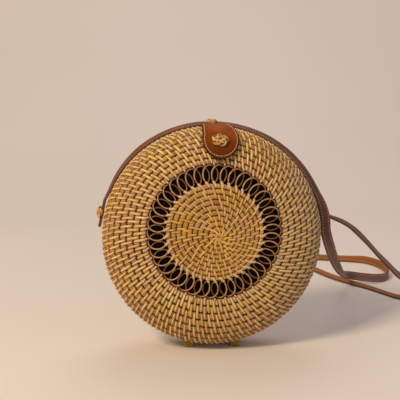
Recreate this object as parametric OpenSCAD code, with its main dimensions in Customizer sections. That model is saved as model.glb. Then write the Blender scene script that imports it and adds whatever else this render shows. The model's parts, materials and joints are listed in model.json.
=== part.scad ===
// Round two-shell shoulder bag of coiled cane, with an openwork ring of cane curls in each face,
// a leather flap with a knotted cane button, and a flat leather strap.
// X runs to the right of the front face, Y from front to back, Z up from the surface it stands on.

/* [Shells] */
// Diameter of the round bag
bag_d = 200; // [160:1:240]
// Depth of the closed bag, over both faces
bag_depth = 80; // [64:1:100]
// Thickness of the coiled cane wall
wall = 4; // [3:0.1:5]
// Squareness of the profile, where 2 is an ellipse
squareness = 3; // [2.6:0.1:3.4]
// Gap between the two rims when the bag is shut
part_gap = 0.4; // [0.2:0.1:0.8]
// Width of the thicker rim coil of each half
rim_w = 5; // [4:0.1:5.2]

/* [Openwork ring] */
// Radius of the woven disc inside the ring
disc_r = 43; // [36:0.5:45]
// Radius of the outer woven zone's opening
ring_r = 58.5; // [55:0.5:61]
// Height of the ring's centre over the centre of the bag
ring_rise = 9; // [0:0.5:10]
// Number of cane curls in one ring
curl_count = 42; // [36:1:48]
// Diameter of the cane of the curls
curl_cane = 1.25; // [1:0.05:1.4]
// Play between the curls and the edges of the ring
curl_play = 0.3; // [0.1:0.05:0.6]
// Sideways swing of a curl from its middle
curl_swing = 5.5; // [4.8:0.1:6]
// Rise of a curl's front half over its middle
curl_lift = 1.75; // [1.6:0.05:1.9]
// Depth of the middle of the curls under the face
curl_sink = 1.5; // [1.4:0.05:1.7]

/* [Lining] */
// Thickness of the lining cloth
cloth = 0.8; // [0.5:0.1:1.2]
// Gap between the lining and what it lies on
cloth_gap = 0.3; // [0.1:0.1:0.5]
// Width of the folded side gusset
gusset_w = 11; // [6:0.5:14]
// Half the angle that a side gusset covers
gusset_angle = 32; // [20:1:45]

/* [Hinge ties] */
// Distance of each hinge tie from the middle
tie_x = 21.5; // [16:0.5:30]
// Width of a hinge tie along the rim
tie_w = 8.6; // [7:0.1:12]
// Reach of a hinge tie under each half
tie_reach = 9; // [7:0.5:11]
// Drop of the ties' feet below the shells
foot_drop = 3.2; // [2.8:0.1:4]
// Radius of the cane core that the halves turn on
core_r = 1.3; // [1:0.05:1.5]
// Wall of a tie's loop round the core
loop_wall = 0.85; // [0.6:0.05:1]
// Play of a loop on the core
core_play = 0.05; // [0.03:0.01:0.1]
// Play between neighbouring loops and between ties and rims
tie_play = 0.25; // [0.15:0.05:0.4]
// Distance of each tie's pad from the parting plane
pad_gap = 0.6; // [0.4:0.1:1]

/* [Flap] */
// Thickness of the leather of the flap
leather = 1.9; // [1.6:0.1:2.4]
// Gap between the flap and the rims
flap_gap = 0.3; // [0.2:0.1:0.6]
// Extra height of the flap over the face
flap_stand = 4.5; // [4:0.1:5]
// Width of the flap's neck over the rims
neck_w = 26; // [20:0.5:28]
// Distance of the neck's middle to the right
neck_side = 3; // [0:0.5:5]
// Radius of the flap's round end
tip_r = 16.2; // [14:0.1:18]
// Distance of the round end's centre below the top of the bag
tip_drop = 10.6; // [9:0.1:13]
// Distance of the round end's centre to the right
tip_side = 5.7; // [0:0.1:8]
// Length of the fixed root behind the bend
root_len = 9.6; // [9:0.1:10]
// Gap at the bend of the flap
bend_gap = 0.3; // [0.2:0.05:0.5]

/* [Closure] */
// Distance of the closure below the top of the bag
closure_drop = 14.5; // [13:0.1:16]
// Distance of the closure to the right
closure_side = 4.5; // [2:0.1:7]
// Radius of the closure's two discs
closure_r = 6; // [5:0.1:7]
// Thickness of each of the discs
closure_t = 1.3; // [1:0.05:1.4]
// Depth that the lower disc is let into the shell
closure_sink = 0.8; // [0.7:0.05:1]
// Gap between the two discs
closure_gap = 0.3; // [0.2:0.05:0.4]
// Radius of the rivets that hold the discs
rivet_r = 1.5; // [1:0.05:1.8]
// Radius of the rivets' heads and washer
rivet_head_r = 3.4; // [3:0.1:3.8]
// Thickness of the rivets' heads and washer
rivet_head_t = 0.9; // [0.6:0.05:1]
// Clearance of the discs, heads and rivets in their seats
seat_play = 0.1; // [0.05:0.01:0.2]

/* [Cane knots] */
// Radius of the flap knot's two rings of cane
flap_knot_r = 4.3; // [4:0.1:4.6]
// Radius of the cane of the flap knot
flap_knot_cane = 1.6; // [1.4:0.05:1.8]
// Radius of the side knots' rings
side_knot_r = 3.6; // [3.2:0.1:4]
// Radius of the cane of the side knots
side_knot_cane = 1.4; // [1.2:0.05:1.6]
// Radius of the top knot's rings
top_knot_r = 2.5; // [2.2:0.1:2.8]
// Radius of the cane of the top knot
top_knot_cane = 1.2; // [1:0.05:1.3]
// Radius of the legs that tie the knots down
leg_r = 0.9; // [0.7:0.05:1.1]
// Play of the legs in their holes
leg_play = 0.05; // [0.03:0.01:0.1]
// Depth of the legs in the shell
leg_bite = 3; // [2:0.1:3.4]
// Gap under each knot
knot_gap = 0.1; // [0.05:0.05:0.2]
// Distance of the top knot behind the parting plane
top_knot_back = 6.5; // [6.3:0.1:6.7]

/* [Strap] */
// Width of the strap
strap_w = 10; // [8:0.5:12]
// Thickness of the strap
strap_t = 2.4; // [1.8:0.1:2.8]
// Angle of the side knots above the bag's middle
knot_angle = 12; // [8:1:16]
// Distance of the side knots behind the parting plane
knot_back = 8; // [7:0.5:9]
// Length of the left end below its knot
tail_down = 14; // [10:0.5:18]
// Length of the left end above its knot
tail_up = 9; // [8:0.5:12]
// Length of the right end in front of its knot
tail_front = 6.5; // [6:0.1:6.8]
// Length of the right end behind its knot
tail_back = 12; // [9:0.5:14]
// Gap between the strap and the shell
strap_gap = 0.4; // [0.3:0.05:0.8]

/* [Hidden] */
$fn = 96;

// Cut that runs past a face
over = 1;
// Rounding of the strap's edges
strap_edge = 0.6;
// Spread of each knot's two rings, height of their middle and inset of their base, as shares of
// the cane's radius
knot_spread_share = 1.1;
knot_height_share = 0.8;
knot_inset_share = 0.3;
// Profile steps from the face's middle to the rim
profile_steps = 14;
// Sides of the tube of a curl, and rings a curl
tube_sides = 6;
curl_rings = 8;
// Points between two rings where the curls' gap to themselves is measured
gap_steps = 6;

bag_r = bag_d / 2;
face_d = bag_depth / 2;
centre_z = foot_drop + bag_r;
tip_up = bag_r - tip_drop;
far = 2 * bag_d;

straw = "#C79A55";
cane_light = "#D9AE62";
cane_dark = "#9A6233";
leather_brown = "#7A3B14";
strap_brown = "#4A2A20";
cloth_dark = "#2B2420";
metal_grey = "#9A9A98";

function unit(v) = v / norm(v);
function depth_at(r, rad, deep) = deep * pow(max(0, 1 - pow(r / rad, squareness)), 1 / squareness);
function radius_at(y, rad, deep) = rad * pow(max(0, 1 - pow(y / deep, squareness)), 1 / squareness);
function cap_points(rad, deep) = [
    for (i = [0:profile_steps])
        let (a = 90 * i / profile_steps)
        [rad * pow(sin(a), 2 / squareness), deep * pow(cos(a), 2 / squareness)]
];
function backwards(list) = [for (i = [len(list) - 1:-1:0]) list[i]];

// The front half is drawn with its face up: x to the right, y up the bag, z out of the front face
module front() {
    translate([0, 0, centre_z]) rotate([90, 0, 0]) children();
}

module back() {
    mirror([0, 1, 0]) front() children();
}

// Curved layer of a face, from its middle to its rim
module layer(rad, deep, thick) {
    rotate_extrude()
        polygon(concat(cap_points(rad, deep), backwards(cap_points(rad - thick, deep - thick))));
}

// Solid round body inside a curved face, on both sides of the parting plane
module both_faces(rad, deep) {
    for (side = [0, 1])
        mirror([0, 0, side])
            rotate_extrude() polygon(concat([[0, 0]], cap_points(rad, deep)));
}

module slab(low, high) {
    translate([-far / 2, -far / 2, low]) cube([far, far, high - low]);
}

// The ring's centre line, on which the disc and the opening are cut
module on_ring() {
    translate([0, ring_rise, 0]) children();
}

// Local frame of the closure: z along the face's normal, with its zero on the shell
closure_turn = atan2(closure_side, bag_r - closure_drop);
closure_up = norm([closure_side, bag_r - closure_drop]);
closure_y = depth_at(closure_up, bag_r, face_d);
normal_up = pow(closure_up / bag_r, squareness - 1) / bag_r;
normal_out = pow(closure_y / face_d, squareness - 1) / face_d;
closure_tilt = atan2(normal_up, normal_out);

module at_closure() {
    rotate([0, 0, -closure_turn])
        translate([0, closure_up, closure_y])
            rotate([-closure_tilt, 0, 0]) children();
}

// Heights over the shell along the closure's axis
plate_low = -closure_sink;
plate_top = plate_low + closure_t;
magnet_low = plate_top + closure_gap;
magnet_top = magnet_low + closure_t;
flap_r = bag_r + flap_gap;
flap_d = face_d + flap_stand;
outer_r = flap_r + leather;
outer_d = flap_d + leather;
// Distance of a curved layer from the shell along the closure's axis
function stand_of(rad, deep) =
    (depth_at(closure_up, rad, deep) - closure_y) * cos(closure_tilt);
flap_top = stand_of(outer_r, outer_d) + wall * (1 - cos(closure_tilt)) / 8;
knot_hole = rivet_head_t + seat_play;

// Local frame of a knot on the bag's edge: z outwards, y along the rim, x to the front
module at_edge(angle, depth, rad) {
    rotate([0, 0, angle]) translate([rad, 0, depth]) rotate([0, 90, 0]) children();
}

// Pair of legs that run down through the leather
module legs(apart, length, radius) {
    for (side = [-1, 1])
        translate([0, side * apart, -length]) cylinder(r = radius, h = length + over / 2);
}

// Two rings of cane side by side, on a common base under a small dome, cut flat at their seat
module cane_knot(ring, cane) {
    spread = cane * knot_spread_share;
    height = cane * knot_height_share;
    base = ring - cane * knot_inset_share;
    intersection() {
        union() {
            for (side = [-1, 1])
                translate([0, side * spread, 0]) {
                    translate([0, 0, height])
                        rotate_extrude() translate([ring, 0]) circle(cane);
                    cylinder(r = base, h = height);
                }
            translate([0, 0, height]) sphere(base);
        }
        cylinder(r = far, h = far);
    }
}

// Coiled cane wall between the openwork ring and the rim coil
module outer_zone() {
    difference() {
        layer(bag_r, face_d, wall);
        slab(-over, rim_w);
        on_ring() cylinder(r = ring_r, h = far);
    }
}

module rim_coil() {
    intersection() {
        layer(bag_r, face_d, wall);
        slab(part_gap / 2, rim_w);
    }
}

module woven_disc() {
    intersection() {
        layer(bag_r, face_d, wall);
        on_ring() cylinder(r = disc_r, h = far);
    }
}

// One unbroken cane, wound in curls round the ring
ring_mid = (disc_r + ring_r) / 2;
curl_reach = (ring_r - disc_r - curl_cane) / 2 - curl_play;
ring_count = curl_count * curl_rings;
function curl_point(turn) =
    let (
        phase = 360 * turn,
        r = ring_mid + curl_reach * cos(phase),
        a = 360 * turn / curl_count + curl_swing * sin(phase) / ring_mid * 180 / PI,
        x = r * cos(a),
        y = ring_rise + r * sin(a)
    )
    [x, y, depth_at(norm([x, y]), bag_r, face_d) - curl_sink + curl_lift * sin(phase)];
function curl_centre(i) = curl_point(i / curl_rings);
function curl_flat(i) =
    let (a = 360 * i / curl_rings / curl_count)
    unit([curl_lift * sin(a), -curl_lift * cos(a), curl_swing]);
function curl_chord(k) =
    let (i = floor(k / gap_steps), s = k / gap_steps - i)
    curl_centre(i) * (1 - s) + curl_centre(i + 1) * s;
function ring_round(c, along, side, radius, sides) =
    let (n = unit(side - (side * along) * along), b = cross(along, n))
    [for (j = [0:sides - 1]) c + radius * (cos(360 * j / sides) * n + sin(360 * j / sides) * b)];
curl_points = [
    for (i = [0:ring_count - 1])
        each ring_round(
            curl_centre(i), unit(curl_centre(i + 1) - curl_centre(i - 1)), curl_flat(i),
            curl_cane / 2, tube_sides
        )
];
function tube_faces(rings, sides, closed) = [
    for (i = [0:rings - (closed ? 1 : 2)], j = [0:sides - 1])
        let (
            next = (i + 1) % rings,
            a = i * sides + j,
            b = i * sides + (j + 1) % sides,
            c = next * sides + (j + 1) % sides,
            d = next * sides + j
        )
        each [[a, c, b], [a, d, c]]
];
curl_loop_steps = curl_rings * gap_steps;
curl_self_gap = min([
    for (i = [0:curl_loop_steps - 1], j = [i + curl_loop_steps / 4:i + 2 * curl_loop_steps])
        norm(curl_chord(i) - curl_chord(j))
]) - curl_cane;
echo(curl_self_gap = curl_self_gap);

module curl_ring() {
    polyhedron(points = curl_points, faces = tube_faces(ring_count, tube_sides, true));
}

lining_r = bag_r - wall - cloth_gap;
lining_d = face_d - wall - cloth_gap;
module lining() {
    difference() {
        layer(lining_r, lining_d, cloth);
        slab(-over, part_gap / 2);
    }
}

// Folded cloth that closes the sides between the halves when the bag opens
module gussets() {
    gusset_out = lining_r - cloth - cloth_gap;
    for (side = [0, 180])
        rotate([0, 0, side - gusset_angle])
            rotate_extrude(angle = 2 * gusset_angle)
                translate([gusset_out - gusset_w, part_gap / 2]) square([gusset_w, cloth]);
}

// Hinge ties: cane loops on a core, bound to the rims, whose flat undersides are the bag's feet
loop_r = core_r + core_play + loop_wall;
core_z = loop_r;
loop_w = (tie_w - 2 * tie_play) / 3;
loop_step = loop_w + tie_play;
tie_top = 2 * foot_drop + wall;

module lying(x, width, radius) {
    translate([x - width / 2, 0, core_z]) rotate([0, 90, 0]) cylinder(r = radius, h = width);
}

// side is 1 for the back half and -1 for the front half; mine and others are the loops' places
module tie(x, side, mine, others) {
    difference() {
        union() {
            translate([x - tie_w / 2, side > 0 ? pad_gap : -tie_reach, 0])
                cube([tie_w, tie_reach - pad_gap, tie_top]);
            for (m = mine) {
                lying(x + m, loop_w, loop_r);
                translate([x + m - loop_w / 2, side > 0 ? 0 : -pad_gap - loop_r, 0])
                    cube([loop_w, pad_gap + loop_r, 2 * loop_r]);
            }
        }
        front() both_faces(bag_r + tie_play, face_d + tie_play);
        for (m = mine) lying(x + m, loop_w + over, core_r + core_play);
        for (o = others) lying(x + o, loop_w + 2 * tie_play, loop_r + tie_play);
    }
}

module hinge_ties_back() {
    color(cane_light)
        for (side = [-1, 1]) tie(side * tie_x, 1, [-loop_step, loop_step], [0]);
}

module hinge_ties_front() {
    color(cane_light)
        for (side = [-1, 1]) tie(side * tie_x, -1, [0], [-loop_step, loop_step]);
}

module hinge_cores() {
    color(cane_dark)
        for (side = [-1, 1]) lying(side * tie_x, tie_w, core_r);
}

// Leather flap: a fixed root behind the bend, and a tongue that lifts from the front
module neck_outline() {
    translate([neck_side - neck_w / 2, tip_up]) square([neck_w, far]);
}

module tongue_outline() {
    neck_left = neck_side - neck_w / 2;
    neck_right = neck_side + neck_w / 2;
    polygon([
        [neck_left, far], [neck_left, outer_r - wall], [tip_side - tip_r, tip_up],
        [tip_side + tip_r, tip_up], [neck_right, outer_r - wall], [neck_right, far],
    ]);
    translate([tip_side, tip_up]) circle(tip_r);
}

module flap_layer(low, high) {
    intersection() {
        layer(outer_r, outer_d, leather);
        slab(low, high);
        linear_extrude(far) children();
    }
}

top_knot_seat = radius_at(top_knot_back, outer_r, outer_d) + knot_gap;
top_leg_apart = top_knot_r;
top_leg_length = top_knot_seat - radius_at(top_knot_back, bag_r, face_d) + leg_bite;

module top_legs(radius) {
    at_edge(90, top_knot_back, top_knot_seat) legs(top_leg_apart, top_leg_length, radius);
}

module flap_root() {
    color(leather_brown)
        back() difference() {
            flap_layer(2 * bend_gap, root_len) neck_outline();
            top_legs(leg_r + leg_play);
        }
}

module top_knot() {
    color(cane_light)
        back() {
            at_edge(90, top_knot_back, top_knot_seat) cane_knot(top_knot_r, top_knot_cane);
            top_legs(leg_r);
        }
}

// The knot's seat over the curved leather, and the legs through it
flap_knot_seat = flap_top + knot_gap;
flap_leg_apart = flap_knot_r + flap_knot_cane * knot_spread_share;
flap_leg_length = flap_knot_seat - stand_of(flap_r, flap_d);

module flap_tongue() {
    color(leather_brown)
        front() difference() {
            flap_layer(bend_gap, far) tongue_outline();
            at_closure() {
                cylinder(r = rivet_r + seat_play, h = far);
                cylinder(r = closure_r + seat_play, h = magnet_top + seat_play);
                translate([0, 0, flap_knot_seat - knot_gap])
                    cylinder(r = rivet_head_r + 4 * seat_play, h = far);
                translate([0, 0, flap_knot_seat]) rotate([0, 0, 90])
                    legs(flap_leg_apart, flap_leg_length + over, leg_r + leg_play);
            }
        }
}

module flap_knot() {
    color(cane_light)
        front() at_closure() translate([0, 0, flap_knot_seat]) {
            difference() {
                rotate([0, 0, 90]) cane_knot(flap_knot_r, flap_knot_cane);
                translate([0, 0, -over]) cylinder(r = rivet_head_r + seat_play, h = knot_hole + over);
            }
            rotate([0, 0, 90]) legs(flap_leg_apart, flap_leg_length, leg_r);
        }
}

// Magnetic closure under the flap's round end
module closure_magnet() {
    color(metal_grey)
        front() at_closure() translate([0, 0, magnet_low]) difference() {
            cylinder(r = closure_r, h = closure_t);
            translate([0, 0, closure_t / 3]) cylinder(r = rivet_r + seat_play / 2, h = closure_t);
        }
}

module closure_rivet() {
    color(metal_grey)
        front() at_closure() {
            translate([0, 0, magnet_low + closure_t / 3])
                cylinder(r = rivet_r, h = flap_knot_seat - magnet_low - closure_t / 3);
            translate([0, 0, flap_knot_seat - knot_gap]) cylinder(r = rivet_head_r, h = rivet_head_t);
        }
}

washer_out = wall - rivet_head_t;
module closure_plate() {
    color(metal_grey)
        front() at_closure() {
            translate([0, 0, plate_low]) cylinder(r = closure_r, h = closure_t);
            translate([0, 0, -wall]) cylinder(r = rivet_r, h = wall + plate_low + closure_t / 2);
        }
}

module closure_washer() {
    color(metal_grey)
        front() at_closure() translate([0, 0, -wall]) difference() {
            cylinder(r = rivet_head_r, h = rivet_head_t);
            translate([0, 0, -over]) cylinder(r = rivet_r + seat_play / 2, h = far);
        }
}

// Side knots and the strap's two ends, held on the back half
strap_seat = bag_r + strap_gap;
side_knot_seat = strap_seat + strap_t + knot_gap;
side_leg_apart = side_knot_r * knot_spread_share / 1.2;
side_leg_length = side_knot_seat - radius_at(knot_back, bag_r, face_d) + leg_bite;

module side_legs(angle, radius) {
    at_edge(angle, knot_back, side_knot_seat) legs(side_leg_apart, side_leg_length, radius);
}

module side_knot(angle) {
    color(cane_light)
        back() {
            at_edge(angle, knot_back, side_knot_seat) cane_knot(side_knot_r, side_knot_cane);
            side_legs(angle, leg_r);
        }
}

module side_knot_left() {
    side_knot(180 - knot_angle);
}

module side_knot_right() {
    side_knot(knot_angle);
}

module strap_end_left() {
    color(strap_brown)
        back() difference() {
            at_edge(180 - knot_angle, knot_back, strap_seat) {
                translate([-strap_w / 2, -tail_up, 0])
                    cube([strap_w, tail_up + tail_down - strap_w / 2, strap_t]);
                translate([0, tail_down - strap_w / 2, 0]) cylinder(d = strap_w, h = strap_t);
            }
            side_legs(180 - knot_angle, leg_r + leg_play);
        }
}

module strap_end_right() {
    color(strap_brown)
        back() difference() {
            at_edge(knot_angle, knot_back, strap_seat) {
                translate([-tail_back, -strap_w / 2, 0])
                    cube([tail_back + tail_front - strap_w / 2, strap_w, strap_t]);
                translate([tail_front - strap_w / 2, 0, 0]) cylinder(d = strap_w, h = strap_t);
            }
            side_legs(knot_angle, leg_r + leg_play);
        }
}

// The strap over the back half's rim: the angle up from the right, the distance behind the parting
// plane, and the lean of its outer side to the front, of each point
rim_route = [
    [156, 8.6, 3], [149, 9.4, 6], [142, 10.6, 9], [135, 12, 11], [128, 13.4, 13], [121, 14.8, 14],
    [114, 15.8, 14], [107, 16.4, 14], [100, 16.6, 14], [93, 16.6, 14], [86, 16.6, 14],
    [79, 16.2, 14], [72, 15.4, 14], [65, 14.2, 15], [58, 12.8, 16], [51, 11.4, 18], [44, 9.8, 20],
    [37, 8.2, 22], [30, 6.6, 24],
];
// The free strap, where it falls from the rim, lies and rises to its right end: each point's place,
// and the direction that its outer side faces
fall_route = [
    [[97.2, 3.8, 141.2], [5, -2.5, 1]], [[102.1, 0, 129.6], [5, -3, 1]],
    [[104.6, -2, 118.2], [4, -3, 0]], [[105.4, -2, 107], [4, -4, 0]], [[109, 4, 96.6], [3, -5, -1]],
    [[114, 16, 87.5], [2, -5, -2]], [[119.2, 30, 78.9], [2, -5, -2]],
    [[131.8, 65, 61.5], [2, -5, -2]], [[147.3, 110, 44], [3, -5, -2]],
    [[162, 156, 30], [4, -5, -1]], [[172, 188, 21], [5, -5, 0]], [[180, 210, 15], [5, -5, 0]],
    [[187.5, 225, 11.4], [3, -5, 0]],
];
floor_route = [
    [[197, 231.5, 8.8], [1, -5, 0]], [[209, 231, 7.2], [0, -5, 0]], [[221, 231.5, 6], [1, -5, 0]],
    [[233, 236, 5.3], [3, -4, 0]], [[242, 247, 5.3], [4, -2, 0]], [[248.5, 265, 5.2], [5, -1, 0]],
    [[252, 288, 5.2], [5, 0, 0]], [[252, 311, 5.2], [5, 1, -1]], [[247.5, 331, 5.3], [4, 2, -2]],
    [[237.5, 347, 5.1], [3, 4, -3]], [[221, 356.3, 4.4], [1, 4, -5]],
    [[201.5, 364.4, 4.1], [1, 4, -6]], [[181, 371.5, 3.9], [0, 4, -6]],
    [[162, 371, 3.8], [-2, 3, -6]], [[150, 359, 3.8], [-4, 1, -6]], [[149, 341, 3.6], [-3, -1, -6]],
    [[153.5, 324, 2.6], [-1, -1, -5]], [[159.5, 308, 1.5], [0, 0, -5]],
    [[165, 290, 1.3], [0, 0, -5]], [[172, 266.6, 1.3], [0, 0, -5]], [[180.2, 246, 1.3], [0, 0, -5]],
    [[188.6, 229.5, 1.3], [0, 0, -5]], [[197.5, 214, 1.3], [0, 0, -5]],
    [[206, 200, 1.3], [0, 0, -5]], [[213.6, 184, 1.3], [0, 0, -5]], [[220.6, 168, 1.3], [0, 0, -5]],
    [[228, 153, 1.9], [0, 1, -5]], [[240, 140, 3.9], [1, 3, -5]], [[256, 135, 5.1], [-1, 4, -3]],
    [[272, 139, 5.3], [-3, 4, -1]], [[283, 152, 5.4], [-5, 2, 0]], [[285, 168, 6.2], [-5, -2, 1]],
    [[276, 181, 8.6], [-3, -4, 3]], [[260, 180, 13], [1, -4, 3]],
];
rise_route = [
    [[241, 161, 20], [3, -4, 2]], [[220, 135.5, 32], [4, -4, 1]], [[204, 120, 46.3], [5, -4, 1]],
    [[188, 105, 60.7], [5, -4, 1]], [[172.5, 90, 76], [5, -4, 1]], [[157.4, 75, 89.8], [5, -4, 2]],
    [[143, 60.5, 100.8], [5, -4, 2]], [[132.2, 51, 107], [5, -3, 2]], [[121, 43, 112], [5, -3, 2]],
    [[111.3, 37, 117], [5, -2, 2]], [[104, 32, 121.8], [5, -1, 1]],
];

function rim_face(angle, lean) = [cos(lean) * cos(angle), -sin(lean), cos(lean) * sin(angle)];
function rim_place(angle, y, lean) =
    let (
        front_edge = y - strap_w / 2 * cos(lean),
        r = radius_at(max(0, front_edge), bag_r, face_d) + strap_gap
            + strap_t / 2 * cos(lean) + strap_w / 2 * sin(lean)
    )
    [r * cos(angle), y, centre_z + r * sin(angle)];
// A point on a strap end, along the rim and behind the knot
function end_place(angle, along, behind) =
    [0, knot_back + behind, centre_z]
    + (strap_seat + strap_t / 2) * [cos(angle), 0, sin(angle)]
    + along * [-sin(angle), 0, cos(angle)];
left_angle = 180 - knot_angle;
route = concat(
    [
        [end_place(left_angle, -tail_up, 0), [cos(left_angle), 0, sin(left_angle)]],
        [end_place(left_angle, -tail_up - strap_t, 0), [cos(left_angle), 0, sin(left_angle)]],
    ],
    [for (p = rim_route) [rim_place(p[0], p[1], p[2]), rim_face(p[0], p[2])]],
    fall_route,
    floor_route,
    rise_route,
    [
        [end_place(knot_angle, 0, tail_back + 2 * strap_t), [cos(knot_angle), 0, sin(knot_angle)]],
        [end_place(knot_angle, 0, tail_back), [cos(knot_angle), 0, sin(knot_angle)]],
    ]
);
fall_last = 1 + len(rim_route) + len(fall_route);
floor_last = fall_last + len(floor_route);
function route_dir(i) =
    i == 0 ? unit(route[1][0] - route[0][0])
    : i == len(route) - 1 ? unit(route[i][0] - route[i - 1][0])
    : unit(unit(route[i + 1][0] - route[i][0]) + unit(route[i][0] - route[i - 1][0]));
strap_outline = [
    [strap_w / 2, strap_t / 2 - strap_edge], [strap_w / 2 - strap_edge, strap_t / 2],
    [strap_edge - strap_w / 2, strap_t / 2], [-strap_w / 2, strap_t / 2 - strap_edge],
    [-strap_w / 2, strap_edge - strap_t / 2], [strap_edge - strap_w / 2, -strap_t / 2],
    [strap_w / 2 - strap_edge, -strap_t / 2], [strap_w / 2, strap_edge - strap_t / 2],
];
function strap_ring(i) =
    let (
        t = route_dir(i),
        n = unit(route[i][1] - (route[i][1] * t) * t),
        b = cross(t, n)
    )
    [for (p = strap_outline) route[i][0] + p[0] * b + p[1] * n];

module strap_run(first, last) {
    sides = len(strap_outline);
    count = last - first + 1;
    ends = concat(
        [for (j = [1:sides - 2]) [0, j, j + 1]],
        [for (j = [1:sides - 2]) [0, j + 1, j] + (count - 1) * sides * [1, 1, 1]]
    );
    polyhedron(
        points = [for (i = [first:last]) each strap_ring(i)],
        faces = concat(tube_faces(count, sides, false), ends)
    );
}

module strap_over_rim() {
    color(strap_brown) strap_run(0, fall_last);
}

module strap_floor_run() {
    color(strap_brown) strap_run(fall_last, floor_last);
}

module strap_rise() {
    color(strap_brown) strap_run(floor_last, len(route) - 1);
}

module back_shell() {
    color(straw)
        back() difference() {
            outer_zone();
            top_legs(leg_r + leg_play);
            side_legs(knot_angle, leg_r + leg_play);
            side_legs(180 - knot_angle, leg_r + leg_play);
        }
}

module front_shell() {
    color(straw)
        front() difference() {
            outer_zone();
            at_closure() {
                translate([0, 0, plate_low]) cylinder(r = closure_r + seat_play, h = far);
                translate([0, 0, -far]) cylinder(r = rivet_r + seat_play, h = 2 * far);
                translate([0, 0, rivet_head_t - wall - far])
                    cylinder(r = rivet_head_r + seat_play, h = far);
            }
        }
}

module back_rim() {
    color(cane_light) back() rim_coil();
}

module front_rim() {
    color(cane_light) front() rim_coil();
}

module back_disc() {
    color(straw) back() woven_disc();
}

module front_disc() {
    color(straw) front() woven_disc();
}

module back_curls() {
    color(cane_dark) back() curl_ring();
}

module front_curls() {
    color(cane_dark) front() curl_ring();
}

module back_lining() {
    color(cloth_dark) back() lining();
}

module front_lining() {
    color(cloth_dark) front() lining();
}

module back_gussets() {
    color(cloth_dark) back() gussets();
}

module front_gussets() {
    color(cloth_dark) front() gussets();
}

back_shell();
back_rim();
back_disc();
back_curls();
back_lining();
back_gussets();
hinge_cores();
hinge_ties_back();
flap_root();
top_knot();
side_knot_left();
side_knot_right();
strap_end_left();
strap_end_right();
strap_over_rim();
strap_floor_run();
strap_rise();
front_shell();
front_rim();
front_disc();
front_curls();
front_lining();
front_gussets();
hinge_ties_front();
closure_plate();
closure_washer();
flap_tongue();
flap_knot();
closure_magnet();
closure_rivet();
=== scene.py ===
"""Round shoulder bag of two coiled cane shells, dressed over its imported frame.

The front of the bag faces -Y, X runs to the right of the front face and Z runs up from the floor.
Sizes are in millimetres and become metres where a mesh is made.
"""

from __future__ import annotations

import json
import logging
import math
from dataclasses import dataclass, field
from enum import Enum

import bpy
import numpy as np
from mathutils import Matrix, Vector

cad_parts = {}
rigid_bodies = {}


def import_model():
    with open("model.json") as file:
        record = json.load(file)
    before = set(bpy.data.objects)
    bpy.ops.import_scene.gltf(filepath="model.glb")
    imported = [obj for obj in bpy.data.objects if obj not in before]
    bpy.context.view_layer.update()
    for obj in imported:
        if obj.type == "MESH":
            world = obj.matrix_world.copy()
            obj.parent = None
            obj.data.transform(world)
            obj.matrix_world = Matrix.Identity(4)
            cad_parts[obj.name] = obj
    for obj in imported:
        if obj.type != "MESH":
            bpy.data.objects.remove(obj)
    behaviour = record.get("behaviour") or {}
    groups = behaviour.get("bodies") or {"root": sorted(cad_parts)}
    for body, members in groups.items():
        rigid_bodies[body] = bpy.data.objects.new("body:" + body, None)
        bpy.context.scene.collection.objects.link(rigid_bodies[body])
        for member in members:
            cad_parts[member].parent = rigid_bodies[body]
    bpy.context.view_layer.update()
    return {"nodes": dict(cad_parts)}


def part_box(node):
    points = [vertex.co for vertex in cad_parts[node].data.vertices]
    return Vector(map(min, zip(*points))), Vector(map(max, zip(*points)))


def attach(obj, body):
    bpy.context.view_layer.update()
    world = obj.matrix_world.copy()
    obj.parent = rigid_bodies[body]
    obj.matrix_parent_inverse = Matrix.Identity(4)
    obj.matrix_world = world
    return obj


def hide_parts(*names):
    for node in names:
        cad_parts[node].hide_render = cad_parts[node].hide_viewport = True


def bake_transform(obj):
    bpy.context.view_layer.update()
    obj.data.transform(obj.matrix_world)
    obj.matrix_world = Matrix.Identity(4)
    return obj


LOG = logging.getLogger("circle_bag")
MM = 0.001


class Side(Enum):
    """The half of the bag, as the sign of its face along Y."""

    FRONT = -1
    BACK = 1

    @property
    def body(self) -> str:
        """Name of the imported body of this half."""
        return "front_half" if self is Side.FRONT else "back_half"

    @property
    def word(self) -> str:
        """Word that the half's pieces start with."""
        return "front" if self is Side.FRONT else "back"


# Colours and shader nodes.


def linear(hex_colour: str) -> tuple[float, float, float, float]:
    """Turns an sRGB hex colour to linear.

    Args:
        hex_colour: Colour as #RRGGBB.

    Returns:
        Red, green, blue and an alpha of 1.
    """
    values = [int(hex_colour[i : i + 2], 16) / 255 for i in (1, 3, 5)]
    red, green, blue = (v / 12.92 if v <= 0.04045 else ((v + 0.055) / 1.055) ** 2.4 for v in values)
    return red, green, blue, 1.0


def add_node(
    tree: bpy.types.NodeTree, kind: str, inputs: dict | None = None, **settings: object
) -> bpy.types.Node:
    """Adds one shader node with its settings and links.

    Args:
        tree: Node tree of the material.
        kind: Blender's name of the node type.
        inputs: Socket name or index to a value, or to the output socket that feeds it.
        settings: Properties of the node.

    Returns:
        The new node.
    """
    node = tree.nodes.new(kind)
    for name, value in settings.items():
        setattr(node, name, value)
    for socket, value in (inputs or {}).items():
        if isinstance(value, bpy.types.NodeSocket):
            tree.links.new(value, node.inputs[socket])
        else:
            node.inputs[socket].default_value = value
    return node


def start_material(name: str) -> tuple[bpy.types.Material, bpy.types.NodeTree, bpy.types.Node]:
    """Makes an empty material with one Principled shader.

    Args:
        name: Name of the material.

    Returns:
        The material, its node tree and the shader.
    """
    material = bpy.data.materials.new(name)
    material.use_nodes = True
    tree = material.node_tree
    tree.nodes.clear()
    shader = add_node(tree, "ShaderNodeBsdfPrincipled")
    add_node(tree, "ShaderNodeOutputMaterial", {"Surface": shader.outputs[0]})
    return material, tree, shader


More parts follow.
